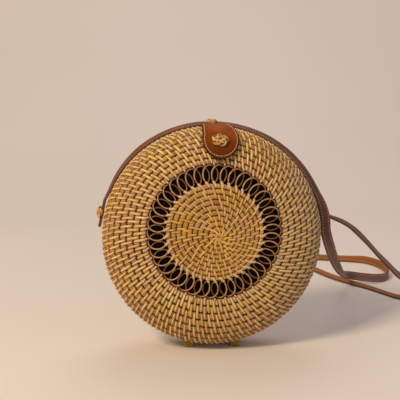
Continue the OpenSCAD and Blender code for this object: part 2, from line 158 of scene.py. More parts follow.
def object_place(tree: bpy.types.NodeTree) -> bpy.types.NodeSocket:
    """Gives the place in the object, in metres."""
    return add_node(tree, "ShaderNodeTexCoord").outputs["Object"]


def along_axis(tree: bpy.types.NodeTree, axis: str, low: float, high: float) -> bpy.types.NodeSocket:
    """Gives 0 to 1 between two places on an axis of the object, in millimetres.

    Args:
        tree: Node tree of the material.
        axis: X, Y or Z.
        low: Place that gives 0.
        high: Place that gives 1.

    Returns:
        The share's output.
    """
    place = add_node(tree, "ShaderNodeSeparateXYZ", {0: object_place(tree)}).outputs[axis]
    inputs = {"Value": place, "From Min": low * MM, "From Max": high * MM}
    return add_node(tree, "ShaderNodeMapRange", inputs).outputs[0]


def mesh_value(tree: bpy.types.NodeTree, name: str) -> bpy.types.NodeSocket:
    """Gives a number that is kept on the mesh's points."""
    return add_node(tree, "ShaderNodeAttribute", attribute_name=name).outputs["Fac"]


def ramp(
    tree: bpy.types.NodeTree, factor: bpy.types.NodeSocket, stops: list[tuple[float, str]]
) -> bpy.types.NodeSocket:
    """Adds a colour ramp.

    Args:
        tree: Node tree of the material.
        factor: Output that drives the ramp.
        stops: Place and hex colour of each stop.

    Returns:
        The ramp's colour output.
    """
    node = add_node(tree, "ShaderNodeValToRGB", {"Fac": factor})
    elements = node.color_ramp.elements
    while len(elements) < len(stops):
        elements.new(0.5)
    for element, (place, colour) in zip(elements, stops):
        element.position = place
        element.color = linear(colour)
    return node.outputs["Color"]


def mixed(
    tree: bpy.types.NodeTree,
    factor: bpy.types.NodeSocket | float,
    first: bpy.types.NodeSocket | tuple,
    second: bpy.types.NodeSocket | tuple,
    blend: str = "MIX",
) -> bpy.types.NodeSocket:
    """Mixes two colours.

    Args:
        tree: Node tree of the material.
        factor: Share of the second colour.
        first: First colour, or the output that gives it.
        second: Second colour, or the output that gives it.
        blend: Way of mixing.

    Returns:
        The mixed colour.
    """
    node = add_node(
        tree,
        "ShaderNodeMix",
        {"Factor": factor, 6: first, 7: second},
        data_type="RGBA",
        blend_type=blend,
    )
    return node.outputs[2]


def sum_of(
    tree: bpy.types.NodeTree,
    first: bpy.types.NodeSocket | float,
    second: bpy.types.NodeSocket | float,
    operation: str = "ADD",
    third: float | None = None,
) -> bpy.types.NodeSocket:
    """Adds one math node.

    Args:
        tree: Node tree of the material.
        first: First number or output.
        second: Second number or output.
        operation: Math operation.
        third: Third number, where the operation takes one.

    Returns:
        The result's output.
    """
    inputs = {0: first, 1: second}
    if third is not None:
        inputs[2] = third
    return add_node(tree, "ShaderNodeMath", inputs, operation=operation).outputs[0]


def grain(tree: bpy.types.NodeTree, size_mm: float, detail: float = 3.0) -> bpy.types.NodeSocket:
    """Adds noise whose patches are about size_mm across."""
    return add_node(
        tree,
        "ShaderNodeTexNoise",
        {"Vector": object_place(tree), "Scale": 1000 / size_mm, "Detail": detail},
    ).outputs["Fac"]


def relief(
    tree: bpy.types.NodeTree,
    shader: bpy.types.Node,
    height: bpy.types.NodeSocket,
    depth_mm: float,
    strength: float,
) -> None:
    """Puts a bump of a real depth on the shader."""
    bump = add_node(
        tree, "ShaderNodeBump", {"Height": height, "Distance": depth_mm * MM, "Strength": strength}
    )
    tree.links.new(bump.outputs[0], shader.inputs["Normal"])


@dataclass(frozen=True)
class SplitCane:
    """Split cane, with its glossy skin side out: pale where it is raised, and painted shade, red-brown, where it
    tucks in.

    The meshes carry tone and hue, numbers for each strip or block, and crest, 1 on its ridge and 0
    in the groove beside it; the lower the crest, the more painted shade.
    """

    name: str
    light: str
    middle: str
    dark: str
    blush: str
    groove_shade: str = "#4A1F14"
    green: str = "#B8A040"
    pink: str = "#D8A080"
    eye: str = "#E0C090"
    # Share of painted shade on the right side of the bag.
    painted_right_shade: float = 0.5
    roughness: float = 0.5
    fibre_mm: float = 0.35

    def build(self) -> bpy.types.Material:
        """Makes the material."""
        material, tree, shader = start_material(self.name)
        tone, crest = mesh_value(tree, "tone"), mesh_value(tree, "crest")
        base = ramp(tree, tone, [(0.0, self.dark), (0.45, self.middle), (1.0, self.light)])
        # Some lengths are cut from greener cane and some from pinker cane.
        hue = mesh_value(tree, "hue")
        greener = ramp(tree, hue, [(0.0, "#A0A0A0"), (0.34, "#000000")])
        pinker = ramp(tree, hue, [(0.6, "#000000"), (1.0, "#B8B8B8")])
        base = mixed(tree, greener, base, linear(self.green))
        base = mixed(tree, mesh_value(tree, "eye"), base, linear(self.eye))
        base = mixed(tree, pinker, base, linear(self.pink))
        # The cane's own colour drifts slowly over the bag, from golden to a pinkish tan.
        drift = ramp(tree, grain(tree, 38, 2), [(0.42, "#000000"), (0.68, "#FFFFFF")])
        base = mixed(tree, sum_of(tree, drift, 0.42, "MULTIPLY"), base, linear(self.blush))
        # Painted shade: the right side of the bag, away from the lamp, is painted greyer and less yellow.
        painted_right_shade = sum_of(tree, along_axis(tree, "X", 35, 105), self.painted_right_shade, "MULTIPLY")
        base = mixed(tree, painted_right_shade, base, linear("#B49C82"))
        # Fibres run along the cane, about 0.3 mm apart; drawn as fine streaks of light and dark.
        streaks = grain(tree, self.fibre_mm, 4)
        base = mixed(
            tree, 0.5, base, ramp(tree, streaks, [(0.3, "#9C9C9C"), (0.7, "#FFFFFF")]), "MULTIPLY"
        )
        # Painted shade: grooves and the places where strips tuck in are painted towards the groove shade colour
        # as crest falls.
        shade = ramp(tree, crest, [(0.0, "#000000"), (0.3, "#3A3A3A"), (0.75, "#FFFFFF")])
        base = mixed(tree, shade, linear(self.groove_shade), base)
        tree.links.new(base, shader.inputs["Base Color"])
        shader.inputs["Roughness"].default_value = self.roughness
        shader.inputs["Specular IOR Level"].default_value = 0.35
        relief(tree, shader, streaks, 0.08, 0.5)
        return material


@dataclass(frozen=True)
class SmokedCane:
    """Thin round cane, smoked to a red-brown, with a satin skin, painted paler on the turns that stand out and
    darker on those that sink, as painted highlight and painted shade.
    """

    name: str = "smoked_round_cane"

    def build(self) -> bpy.types.Material:
        """Makes the material."""
        material, tree, shader = start_material(self.name)
        tone = mesh_value(tree, "tone")
        base = ramp(
            tree, tone, [(0.0, "#3C2612"), (0.4, "#765028"), (0.7, "#A4703E"), (1.0, "#CC9C68")]
        )
        patches = ramp(tree, grain(tree, 7, 2), [(0.34, "#B05A34"), (0.5, "#FFFFFF"), (0.66, "#B8B070")])
        base = mixed(tree, 0.5, base, patches, "MULTIPLY")
        tree.links.new(base, shader.inputs["Base Color"])
        shader.inputs["Roughness"].default_value = 0.38
        relief(tree, shader, grain(tree, 0.4, 2), 0.05, 0.4)
        return material


@dataclass(frozen=True)
class CutLeather:
    """Cowhide with a fine pebbled grain, waxed on its face and burnished dark at its cut edges.

    The meshes carry edge, 1 at the cut edge and 0 inside, and under, 1 on the flesh side. Each painted
    shade or painted highlight has an axis, the places on it in millimetres from which and up to which it
    grows, its amount and its colour.
    """

    name: str
    face: str
    deep: str
    edge: str
    under: str
    painted_shade_and_highlight: tuple[tuple[str, float, float, float, str], ...] = ()
    roughness: float = 0.6
    gloss: float = 0.25
    grain_mm: float = 0.8

    def build(self) -> bpy.types.Material:
        """Makes the material."""
        material, tree, shader = start_material(self.name)
        cloud = ramp(tree, grain(tree, 16, 3), [(0.36, self.deep), (0.64, self.face)])
        # Painted light: each entry lays a painted shade or a painted highlight over the leather's colour.
        for axis, low, high, amount, colour in self.painted_shade_and_highlight:
            share = sum_of(tree, along_axis(tree, axis, low, high), amount, "MULTIPLY")
            cloud = mixed(tree, share, cloud, linear(colour))
        under = mixed(tree, mesh_value(tree, "under"), cloud, linear(self.under))
        edge = mixed(tree, mesh_value(tree, "edge"), under, linear(self.edge))
        pebble = add_node(
            tree,
            "ShaderNodeTexVoronoi",
            {"Vector": object_place(tree), "Scale": 1000 / self.grain_mm},
            feature="DISTANCE_TO_EDGE",
        ).outputs["Distance"]
        creases = ramp(tree, pebble, [(0.0, "#B4B4B4"), (0.09, "#FFFFFF")])
        tree.links.new(mixed(tree, 0.6, edge, creases, "MULTIPLY"), shader.inputs["Base Color"])
        shader.inputs["Roughness"].default_value = self.roughness
        shader.inputs["Specular IOR Level"].default_value = self.gloss
        relief(tree, shader, creases, 0.12, 0.5)
        return material


@dataclass(frozen=True)
class PlainWeave:
    """Cotton in plain weave, with two threads a millimetre drawn coarse enough to show."""

    name: str = "cotton_plain_weave"
    # Near black: a dark cloth, painted darker still as the shade inside the bag.
    colour: str = "#140704"
    thread: str = "#0A0302"
    thread_mm: float = 0.9

    def build(self) -> bpy.types.Material:
        """Makes the material."""
        material, tree, shader = start_material(self.name)
        waves = [
            add_node(
                tree,
                "ShaderNodeTexWave",
                {"Vector": object_place(tree), "Scale": 314 / self.thread_mm / 10, "Distortion": 0.6},
                bands_direction=direction,
            ).outputs["Fac"]
            for direction in ("X", "Z")
        ]
        weave = sum_of(tree, waves[0], waves[1], "MULTIPLY")
        base = ramp(tree, weave, [(0.05, self.thread), (0.7, self.colour)])
        tree.links.new(base, shader.inputs["Base Color"])
        shader.inputs["Roughness"].default_value = 0.92
        shader.inputs["Specular IOR Level"].default_value = 0.1
        relief(tree, shader, weave, 0.15, 0.6)
        return material


@dataclass(frozen=True)
class WaxedThread:
    """Twisted polyester thread, waxed, off-white or dark."""

    name: str
    colour: str

    def build(self) -> bpy.types.Material:
        """Makes the material."""
        material, tree, shader = start_material(self.name)
        twist = grain(tree, 0.5, 2)
        shade = ramp(tree, twist, [(0.35, "#A09888"), (0.6, "#FFFFFF")])
        tree.links.new(
            mixed(tree, 0.8, linear(self.colour), shade, "MULTIPLY"), shader.inputs["Base Color"]
        )
        shader.inputs["Roughness"].default_value = 0.6
        relief(tree, shader, twist, 0.1, 0.6)
        return material


@dataclass(frozen=True)
class SatinNickel:
    """Nickel plated steel, brushed in small circles, so that its gloss is broken and soft."""

    name: str = "satin_nickel"

    def build(self) -> bpy.types.Material:
        """Makes the material."""
        material, tree, shader = start_material(self.name)
        scratches = grain(tree, 0.25, 5)
        tree.links.new(
            ramp(tree, scratches, [(0.3, "#9C9A94"), (0.7, "#C9C6BE")]), shader.inputs["Base Color"]
        )
        shader.inputs["Metallic"].default_value = 1.0
        shader.inputs["Roughness"].default_value = 0.34
        relief(tree, shader, scratches, 0.02, 0.3)
        return material


# Meshes.


def unit(vectors: np.ndarray) -> np.ndarray:
    """Scales each vector to a length of 1."""
    return vectors / np.maximum(np.linalg.norm(vectors, axis=-1, keepdims=True), 1e-12)


def rounded_section(width: float, height: float, points: int, squareness: float = 2.0) -> np.ndarray:
    """Gives a rounded cross-section.

    Args:
        width: Width across.
        height: Height.
        points: Number of points.
        squareness: 2 is an ellipse, more is squarer.

    Returns:
        Points of (across, up).
    """
    a = np.linspace(0, 2 * np.pi, points, endpoint=False)
    c, s = np.cos(a), np.sin(a)
    power = 2 / squareness
    return np.stack(
        [width / 2 * np.sign(c) * np.abs(c) ** power, height / 2 * np.sign(s) * np.abs(s) ** power], 1
    )


class MeshStock:
    """Gathers parts of one piece as arrays, with the numbers on their points, and makes its object."""

    def __init__(self) -> None:
        """Starts empty."""
        self.points: list[np.ndarray] = []
        self.faces: list[list[int]] = []
        self.values: dict[str, list[np.ndarray]] = {}
        self.count = 0

    def add(self, points: np.ndarray, faces: list | np.ndarray, **values: float | np.ndarray) -> None:
        """Adds points in metres and their faces.

        Args:
            points: Array of places.
            faces: Lists of point numbers, counted from this call's first point.
            values: Numbers for the points, by name.
        """
        faces = faces.tolist() if isinstance(faces, np.ndarray) else faces
        base = self.count
        self.faces.extend([[i + base for i in f] for f in faces])
        for name in set(self.values) | set(values):
            if name not in self.values:
                self.values[name] = [np.zeros(base)]
            value = np.broadcast_to(np.asarray(values.get(name, 0.0), float), (len(points),))
            self.values[name].append(value)
        self.points.append(points)
        self.count += len(points)

    def tube(
        self,
        path: np.ndarray,
        across: np.ndarray,
        up: np.ndarray,
        section: np.ndarray,
        closed: bool = False,
        **values: float | np.ndarray,
    ) -> None:
        """Adds a tube along a path.

        Args:
            path: Centres of the rings, in metres.
            across: Direction of the section's first number at each ring.
            up: Direction of its second number.
            section: Points of the section in metres, or one section for each ring.
            closed: Whether the path closes on itself.
            values: Numbers for the points, or for the points of each ring.
        """
        rings = len(path)
        section = np.broadcast_to(section, (rings,) + section.shape[-2:])
        sides = section.shape[1]
        points = (
            path[:, None, :]
            + section[:, :, :1] * across[:, None, :]
            + section[:, :, 1:] * up[:, None, :]
        ).reshape(-1, 3)
        ring = np.arange(rings if closed else rings - 1)
        side = np.arange(sides)
        a = (ring[:, None] * sides + side[None, :]).ravel()
        b = (ring[:, None] * sides + (side[None, :] + 1) % sides).ravel()
        ahead = ((ring + 1) % rings)[:, None] * sides
        c = (ahead + (side[None, :] + 1) % sides).ravel()
        d = (ahead + side[None, :]).ravel()
        faces = np.stack([a, b, c, d], 1).tolist()
        if not closed:
            faces.append(list(range(sides))[::-1])
            faces.append([(rings - 1) * sides + i for i in range(sides)])
        spread = {}
        for name, value in values.items():
            value = np.asarray(value, float)
            if value.ndim == 1 and len(value) == rings:
                value = np.repeat(value, sides)
            spread[name] = value.reshape(-1) if value.ndim == 2 else value
        self.add(points, faces, **spread)

    def build(self, name: str, material: bpy.types.Material, smooth: bool = True) -> bpy.types.Object:
        """Makes the object.

        Args:
            name: Name of the piece.
            material: Its finish.
            smooth: Whether its faces are shaded smooth.

        Returns:
            The new object, linked to the scene.
        """
        mesh = bpy.data.meshes.new(name)
        points = np.concatenate(self.points)
        mesh.from_pydata(points.tolist(), [], self.faces)
        for key, parts in self.values.items():
            attribute = mesh.attributes.new(key, "FLOAT", "POINT")
            attribute.data.foreach_set("value", np.concatenate(parts).astype(np.float32))
        mesh.polygons.foreach_set("use_smooth", [smooth] * len(mesh.polygons))
        mesh.materials.append(material)
        mesh.update()
        piece = bpy.data.objects.new(name, mesh)
        bpy.context.scene.collection.objects.link(piece)
        return piece


def curve_through(points: np.ndarray, steps: int) -> np.ndarray:
    """Runs a smooth curve through points.

    Args:
        points: Array of places or directions.
        steps: Number of steps between two of them.

    Returns:
        The curve's points.
    """
    padded = np.vstack([2 * points[0] - points[1], points, 2 * points[-1] - points[-2]])
    t = np.linspace(0, 1, steps, endpoint=False)[:, None]
    parts = []
    for i in range(1, len(padded) - 2):
        p0, p1, p2, p3 = padded[i - 1 : i + 3]
        parts.append(
            0.5
            * (
                2 * p1
                + (p2 - p0) * t
                + (2 * p0 - 5 * p1 + 4 * p2 - p3) * t**2
                + (3 * p1 - p0 - 3 * p2 + p3) * t**3
            )
        )
    parts.append(points[-1:])
    return np.vstack(parts)


def frames_along(path: np.ndarray, up_hint: np.ndarray, closed: bool = False) -> tuple:
    """Finds the directions across and up along a path.

    Args:
        path: Places along it.
        up_hint: Rough direction up at each place.
        closed: Whether the path closes on itself.

    Returns:
        Arrays of the directions along, across and up.
    """
    if closed:
        along = unit(np.roll(path, -1, 0) - np.roll(path, 1, 0))
    else:
        along = unit(np.gradient(path, axis=0))
    up = unit(up_hint - np.sum(up_hint * along, 1, keepdims=True) * along)
    return along, np.cross(along, up), up


# Form of the bag.


@dataclass(frozen=True)
class BagForm:
    """Rounded form that the shells, lining and flap share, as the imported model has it."""

    radius: float = 100.0
    depth: float = 40.0
    power: float = 3.0
    centre_z: float = 103.2
    wall: float = 4.0
    rim_w: float = 5.0
    ring_rise: float = 9.0
    ring_r: float = 59.4
    disc_r: float = 43.0

    def depth_at(self, r: np.ndarray, grow: float = 0.0) -> np.ndarray:
        """Depth of the face at a distance from the bag's middle, grown outwards by grow."""
        share = np.clip(np.abs(r) / (self.radius + grow), 0, 1)
        return (self.depth + grow) * (1 - share**self.power) ** (1 / self.power)

    def radius_at(self, out: float, grow: float = 0.0) -> float:
        """Radius of the form at a distance from the parting plane, grown outwards by grow."""
        share = min(1.0, abs(out) / (self.depth + grow))
        return (self.radius + grow) * (1 - share**self.power) ** (1 / self.power)

    def profile(self) -> tuple[np.ndarray, np.ndarray, np.ndarray]:
        """Gives the arc length, radius and depth along the profile, from the middle to the rim."""
        a = np.linspace(0, np.pi / 2, 1200)
        r = self.radius * np.sin(a) ** (2 / self.power)
        d = self.depth * np.cos(a) ** (2 / self.power)
        s = np.concatenate([[0], np.cumsum(np.hypot(np.diff(r), np.diff(d)))])
        return s, r, d

    def place(self, x: np.ndarray, up: np.ndarray, out: np.ndarray, side: Side) -> np.ndarray:
        """Turns places of a half's own frame to metres in the row's frame."""
        x, up, out = np.broadcast_arrays(x, up, out)
        return np.stack([x, side.value * out, self.centre_z + up], -1) * MM

    def turn(self, x: np.ndarray, up: np.ndarray, out: np.ndarray, side: Side) -> np.ndarray:
        """Turns directions of a half's own frame to the row's frame."""
        x, up, out = np.broadcast_arrays(x, up, out)
        return np.stack([x, side.value * out, up], -1)

    def normal(self, x: np.ndarray, up: np.ndarray, out: np.ndarray) -> np.ndarray:
        """Outward direction of the form at a place on it, in a half's own frame."""
        r = np.hypot(x, up)
        radial = (r / self.radius) ** (self.power - 1) / self.radius
        face = (np.clip(out, 0, None) / self.depth) ** (self.power - 1) / self.depth
        safe = np.maximum(r, 1e-9)
        return unit(np.stack([radial * x / safe, radial * up / safe, face], -1))


FORM = BagForm()


# The woven cane.


@dataclass
class CoiledWall:
    """Rows of cane coil, bound by slanted strips that each pass over two rows before they dive."""

    side: Side
    rows: int
    coil_h: float
    coil_top: float
    strip_w: float
    strip_t: float
    strip_top: float
    seed: int
    pinch: float = 0.2
    steps: int = 5
    coils: MeshStock = field(default_factory=MeshStock)
    strips: MeshStock = field(default_factory=MeshStock)

    def row_line(self, row: np.ndarray, angle: np.ndarray) -> tuple[np.ndarray, np.ndarray, np.ndarray]:
        """Gives x, up and out on the form, for each row number and angle."""
        raise NotImplementedError

    def family(self, groove: int) -> tuple[int, float, float]:
        """Gives the strips that start in the groove before a row: count, first angle, slip a row."""
        raise NotImplementedError

    def clear(self, x: np.ndarray, up: np.ndarray) -> np.ndarray:
        """Says where nothing may stand on the form, for each place."""
        return np.zeros(np.shape(x), bool)

    def _line(self, row: np.ndarray, angle: np.ndarray) -> tuple[np.ndarray, np.ndarray]:
        """Gives places and outward directions in the row's frame, in metres."""
        x, up, out = self.row_line(row, angle)
        normal = FORM.normal(x, up, out)
        return (
            FORM.place(x, up, out, self.side),
            FORM.turn(normal[..., 0], normal[..., 1], normal[..., 2], self.side),
        )

    def weave(self) -> None:
        """Builds all rows and strips."""
        rng = np.random.default_rng(self.seed)
        for row in range(self.rows):
            self._coil(row, rng)
        for groove in range(-1, self.rows):
            self._bind(groove, rng)

    def _starts(self, groove: int, row: float) -> np.ndarray:
        """Gives the angles at which a groove's strips cross a row."""
        count, first, slip = self.family(groove)
        return first + np.arange(count) * 2 * np.pi / count + slip * (row - groove + 0.5)

    def _coil(self, row: int, rng: np.random.Generator) -> None:
        """Builds one row: a rounded coil, pinched where strips cross it."""
        found = [self._starts(row, row), self._starts(row - 1, row)]
        crossings = np.sort(np.concatenate(found) % (2 * np.pi))
        gaps = np.diff(np.append(crossings, crossings[0] + 2 * np.pi))
        share = np.arange(self.steps) / self.steps
        angle = (crossings[:, None] + gaps[:, None] * share).ravel()
        near = np.tile(np.minimum(share, 1 - share), len(crossings))
        centre, normal = self._line(np.full(len(angle), row), angle)
        inner, _ = self._line(np.full(len(angle), row - 0.5), angle)
        outer, _ = self._line(np.full(len(angle), row + 0.5), angle)
        across = unit(outer - inner)
        width = np.linalg.norm(outer - inner, axis=1)
        normal = unit(normal - np.sum(normal * across, 1, keepdims=True) * across)
        fat = 1 - self.pinch * np.exp(-((near / 0.22) ** 2))
        section = rounded_section(1.0, 1.0, 10, 2.2)
        x, up, _ = self.row_line(np.full(len(angle), row), angle)
        high = self.coil_h * MM * fat * np.where(self.clear(x, up), 0.35, 1.0)
        shaped = np.stack(
            [
                section[None, :, 0] * (width * (1.03 - 1.1 * (1 - fat)))[:, None],
                section[None, :, 1] * high[:, None],
            ],
            -1,
        )
        centre = centre + normal * (self.coil_top - self.coil_h / 2) * MM
        tones = np.repeat(rng.normal(0.4, 0.16, len(crossings)).clip(0, 0.9), self.steps)
        hues = np.repeat(rng.uniform(0, 1, len(crossings)), self.steps)
        # Painted shade: crest is lowest at the coil's sides and where strips cross it, so these are painted
        # darker.
        crest = np.clip(section[None, :, 1] * 2, 0, 1) * (0.5 + 0.5 * np.clip(near / 0.3, 0, 1))[:, None]
        self.coils.tube(centre, across, normal, shaped, closed=True, tone=tones, hue=hues, crest=crest)

    def _bind(self, groove: int, rng: np.random.Generator) -> None:
        """Builds the strips that start in the groove before a row."""
        # Distance run, in rows, and drop below the crest, in millimetres.
        if 0 <= groove < self.rows - 1:
            run = np.array([0.05, 0.14, 0.3, 0.5, 0.75, 1.0, 1.25, 1.5, 1.7, 1.86, 1.95])
            drop = np.array([2.0, 1.1, 0.3, 0.0, 0.12, 0.42, 0.12, 0.0, 0.3, 1.1, 2.0])
        else:
            run = np.array([0.05, 0.14, 0.3, 0.5, 0.7, 0.86, 0.95]) + (groove < 0)
            drop = np.array([2.0, 1.1, 0.3, 0.0, 0.3, 1.1, 2.0])
        # Painted shade: crest falls as the strip drops below the coils, so its diving ends are painted darker.
        crest = 1 - 0.8 * np.clip(drop / 1.6, 0, 1)
        spindle = 0.6 + 0.4 * np.sin(np.pi * (run - run[0]) / (run[-1] - run[0]))
        count, _, slip = self.family(groove)
        rows = groove - 0.5 + run
        for start in self._starts(groove, groove - 0.5) + rng.normal(0, 0.03, count) * 2 * np.pi / count:
            angle = start + slip * rng.normal(1, 0.1) * run
            x, up, _ = self.row_line(rows, angle)
            if self.clear(x, up).any():
                continue
            places, normals = self._line(rows, angle)
            high = (self.strip_top - self.strip_t / 2 - drop) * MM
            path = places + normals * high[:, None]
            _, across, upward = frames_along(path, normals)
            wide = self.strip_w * spindle * MM * rng.uniform(0.88, 1.12)
            section = rounded_section(1.0, self.strip_t * MM, 8, 2.2)
            flat = np.broadcast_to(section[:, 1], (len(run), 8))
            shaped = np.stack([section[None, :, 0] * wide[:, None], flat], -1)
            self.strips.tube(
                path, across, upward, shaped,
                tone=rng.uniform(0.35, 1.0), hue=rng.uniform(0, 1), crest=np.repeat(crest, 8),
                eye=float(groove < 0),
            )


@dataclass
class OuterZone(CoiledWall):
    """Wall between the openwork ring and the rim coil."""

    strips_round: int = 63
    slip: float = 0.0227
    plate: tuple[float, float, float] = (4.5, 85.5, 7.6)

    def row_line(self, row: np.ndarray, angle: np.ndarray) -> tuple[np.ndarray, np.ndarray, np.ndarray]:
        """Gives x, up and out between the ring's edge and the rim."""
        s, r, d = FORM.profile()
        start = FORM.ring_rise * np.sin(angle) + np.sqrt(
            FORM.ring_r**2 - (FORM.ring_rise * np.cos(angle)) ** 2
        )
        first = np.interp(start, r, s)
        last = np.interp(-FORM.rim_w, -d, s)
        at = first + (last - first) * (row + 0.5) / self.rows
        radius = np.interp(at, s, r)
        return radius * np.cos(angle), radius * np.sin(angle), np.interp(at, s, d)

    def family(self, groove: int) -> tuple[int, float, float]:
        """Gives the same count in every groove, moved by half a pitch from the groove before."""
        pitch = 2 * np.pi / self.strips_round
        return self.strips_round, groove * (self.slip + pitch / 2), self.slip

    def clear(self, x: np.ndarray, up: np.ndarray) -> np.ndarray:
        """Says where the closure's plate lies in the front shell."""
        across, high, radius = self.plate
        return (np.hypot(x - across, up - high) < radius) & (self.side is Side.FRONT)


@dataclass
class Disc(CoiledWall):
    """Disc inside the openwork ring, wound a little off its middle."""

    middle: tuple[float, float] = (3.7, 4.8)
    slant: float = 12.0

    def row_line(self, row: np.ndarray, angle: np.ndarray) -> tuple[np.ndarray, np.ndarray, np.ndarray]:
        """Gives x, up and out between the winding's middle and the disc's edge."""
        mx, mu = self.middle[0], self.middle[1] - FORM.ring_rise
        toward = mx * np.cos(angle) + mu * np.sin(angle)
        edge = -toward + np.sqrt(toward**2 + FORM.disc_r**2 - mx**2 - mu**2)
        radius = edge * np.maximum(row + 0.5, 0.12) / self.rows
        x = self.middle[0] + radius * np.cos(angle)
        up = self.middle[1] + radius * np.sin(angle)
        return x, up, FORM.depth_at(np.hypot(x, up))

    def family(self, groove: int) -> tuple[int, float, float]:
        """Gives more strips in every second groove outwards."""
        count = 10 + 6 * (max(groove, 0) // 2)
        slip = math.tan(math.radians(self.slant)) / (max(groove, 0) + 1)
        return count, groove * (slip + math.pi / count), slip


@dataclass
class CaneWork:
    """All the woven cane of one half: outer zone, rim coil, openwork ring and disc."""

    side: Side
    strip_cane: bpy.types.Material
    core_cane: bpy.types.Material
    disc_cane: bpy.types.Material
    thin_cane: bpy.types.Material
    curl_cane: bpy.types.Material
    hook_cane: bpy.types.Material
    curls: int = 42
    curl_r: float = 0.64
    curl_play: float = 0.3
    curl_swing: float = 4.65
    curl_lift: float = 1.75
    curl_sink: float = 1.5

    def build(self) -> list[bpy.types.Object]:
        """Builds and fits the half's cane pieces."""
        word = self.side.word
        seed = 11 if self.side is Side.FRONT else 12
        zone = OuterZone(self.side, 9, 4.0, -0.75, 2.0, 0.95, 0.1, seed)
        zone.weave()
        coils = zone.coils.build(f"{word}_shell_coils", self.core_cane)
        strips = zone.strips.build(f"{word}_shell_strips", self.strip_cane)
        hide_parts(f"{word}_shell")
        disc = Disc(self.side, 10, 3.2, -0.45, 1.8, 0.85, 0.3, seed + 10)
        disc.weave()
        disc_coils = disc.coils.build(f"{word}_disc_coils", self.disc_cane)
        disc_strips = disc.strips.build(f"{word}_disc_strips", self.thin_cane)
        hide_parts(f"{word}_disc")
        rim = self._rim()
        curls = self._curls()
        hooks = self._hooks()
        pieces = [coils, strips, disc_coils, disc_strips, rim, curls, hooks]
        for piece in pieces:
            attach(piece, self.side.body)
        return pieces

    def _rim(self) -> bpy.types.Object:
        """Builds the rim coil, closely bound with strips."""
        stock = MeshStock()
        rng = np.random.default_rng(31 if self.side is Side.FRONT else 32)
        count = 210
        steps = 6
        rings = count * steps
        angle = np.linspace(0, 2 * np.pi, rings, endpoint=False)
        phase = (np.arange(rings) / steps) % 1.0
        bulge = np.sin(np.pi * phase) ** 0.6
        centre_r = FORM.radius - 2.7
        out = 0.2 + (FORM.rim_w - 0.2) / 2
        centre = FORM.place(centre_r * np.cos(angle), centre_r * np.sin(angle), out, self.side)
        radial = FORM.turn(np.cos(angle), np.sin(angle), 0.0, self.side)
        outward = FORM.turn(np.zeros(rings), 0.0, 1.0, self.side)
        section = rounded_section(1.0, 1.0, 10, 2.6)
        shaped = np.stack(
            [
                section[None, :, 0] * ((FORM.rim_w - 0.3) * MM * (0.93 + 0.07 * bulge))[:, None],
                section[None, :, 1] * (4.2 * MM * (0.9 + 0.1 * bulge))[:, None],
            ],
            -1,
        )
        tones = rng.uniform(0.2, 0.95, count)[np.arange(rings) // steps]
        # Painted shade: crest falls between the bound strips, so the rim is painted darker there.
        crest = np.repeat(0.25 + 0.75 * bulge, len(section))
        stock.tube(centre, outward, radial, shaped, closed=True, tone=np.repeat(tones, 10), crest=crest)
        rim = stock.build(f"{self.side.word}_rim_coil", self.strip_cane)
        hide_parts(f"{self.side.word}_rim")
        return rim

    def _curls(self) -> bpy.types.Object:
        """Builds the ring of curls from one unbroken cane."""
        mid = (FORM.disc_r + FORM.ring_r) / 2
        reach = (FORM.ring_r - FORM.disc_r - 2 * self.curl_r) / 2 - self.curl_play
        steps = 36
        turn = np.arange(self.curls * steps) / steps
        phase = 2 * np.pi * turn
        r = mid + reach * np.cos(phase)
        a = 2 * np.pi * turn / self.curls + self.curl_swing * np.sin(phase) / mid
        x, up = r * np.cos(a), FORM.ring_rise + r * np.sin(a)
        out = FORM.depth_at(np.hypot(x, up)) - self.curl_sink + self.curl_lift * np.sin(phase)
        path = FORM.place(x, up, out, self.side)
        about = 2 * np.pi * turn / self.curls
        hint = FORM.turn(np.cos(about), np.sin(about), 0.0, self.side)
        _, across, upward = frames_along(path, hint + 0.001, closed=True)
        stock = MeshStock()
        # Painted light: tone follows the rise of each curl, painted highlight where it stands out and painted
        # shade where it sinks.
        tone = 0.66 + 0.26 * np.sin(phase)
        stock.tube(
            path, across, upward, rounded_section(2 * self.curl_r * MM, 2 * self.curl_r * MM, 8),
            closed=True, tone=tone, crest=1.0,
        )
        curls = stock.build(f"{self.side.word}_curl_ring", self.curl_cane)
        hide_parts(f"{self.side.word}_curls")
        return curls

    def _hooks(self) -> bpy.types.Object:
        """Builds the strips that tie each curl: a hook over the disc's edge, a short end outside."""
        stock = MeshStock()
        rng = np.random.default_rng(41 if self.side is Side.FRONT else 42)
        t = np.linspace(0, 1, 8)
        for k in range(self.curls):
            about = 2 * np.pi * (k + 0.5) / self.curls
            swing = rng.normal(0, 0.25) - 1.4 + 3.0 * t**1.4
            self._tie(stock, FORM.disc_r - 3.4 + 5.0 * t, about + swing / FORM.disc_r, 2.1, t)
            outer = about + (rng.normal(0, 0.3) + 0.6 * t) / FORM.ring_r
            self._tie(stock, FORM.ring_r - 0.9 + 2.3 * t, outer, 1.4, t)
        return stock.build(f"{self.side.word}_curl_hooks", self.hook_cane)

    def _tie(self, stock: MeshStock, r: np.ndarray, a: np.ndarray, wide: float, t: np.ndarray) -> None:
        """Adds one short strip, bent down at both ends, at radii and angles about the ring."""
        x, up = r * np.cos(a), FORM.ring_rise + r * np.sin(a)
        out = FORM.depth_at(np.hypot(x, up)) + 0.95 * np.sin(np.pi * (0.08 + 0.86 * t)) ** 0.7 - 0.55
        path = FORM.place(x, up, out, self.side)
        normal = FORM.normal(x, up, out)
        hint = FORM.turn(normal[:, 0], normal[:, 1], normal[:, 2], self.side)
        _, across, upward = frames_along(path, hint)
        # Painted shade: crest falls at both bent-down ends, so the ties are painted darker there.
        stock.tube(
            path, across, upward, rounded_section(wide * MM, 0.8 * MM, 8, 2.4), tone=0.8,
            hue=0.5, crest=0.45 + 0.55 * np.sin(np.pi * (0.1 + 0.8 * t)),
        )


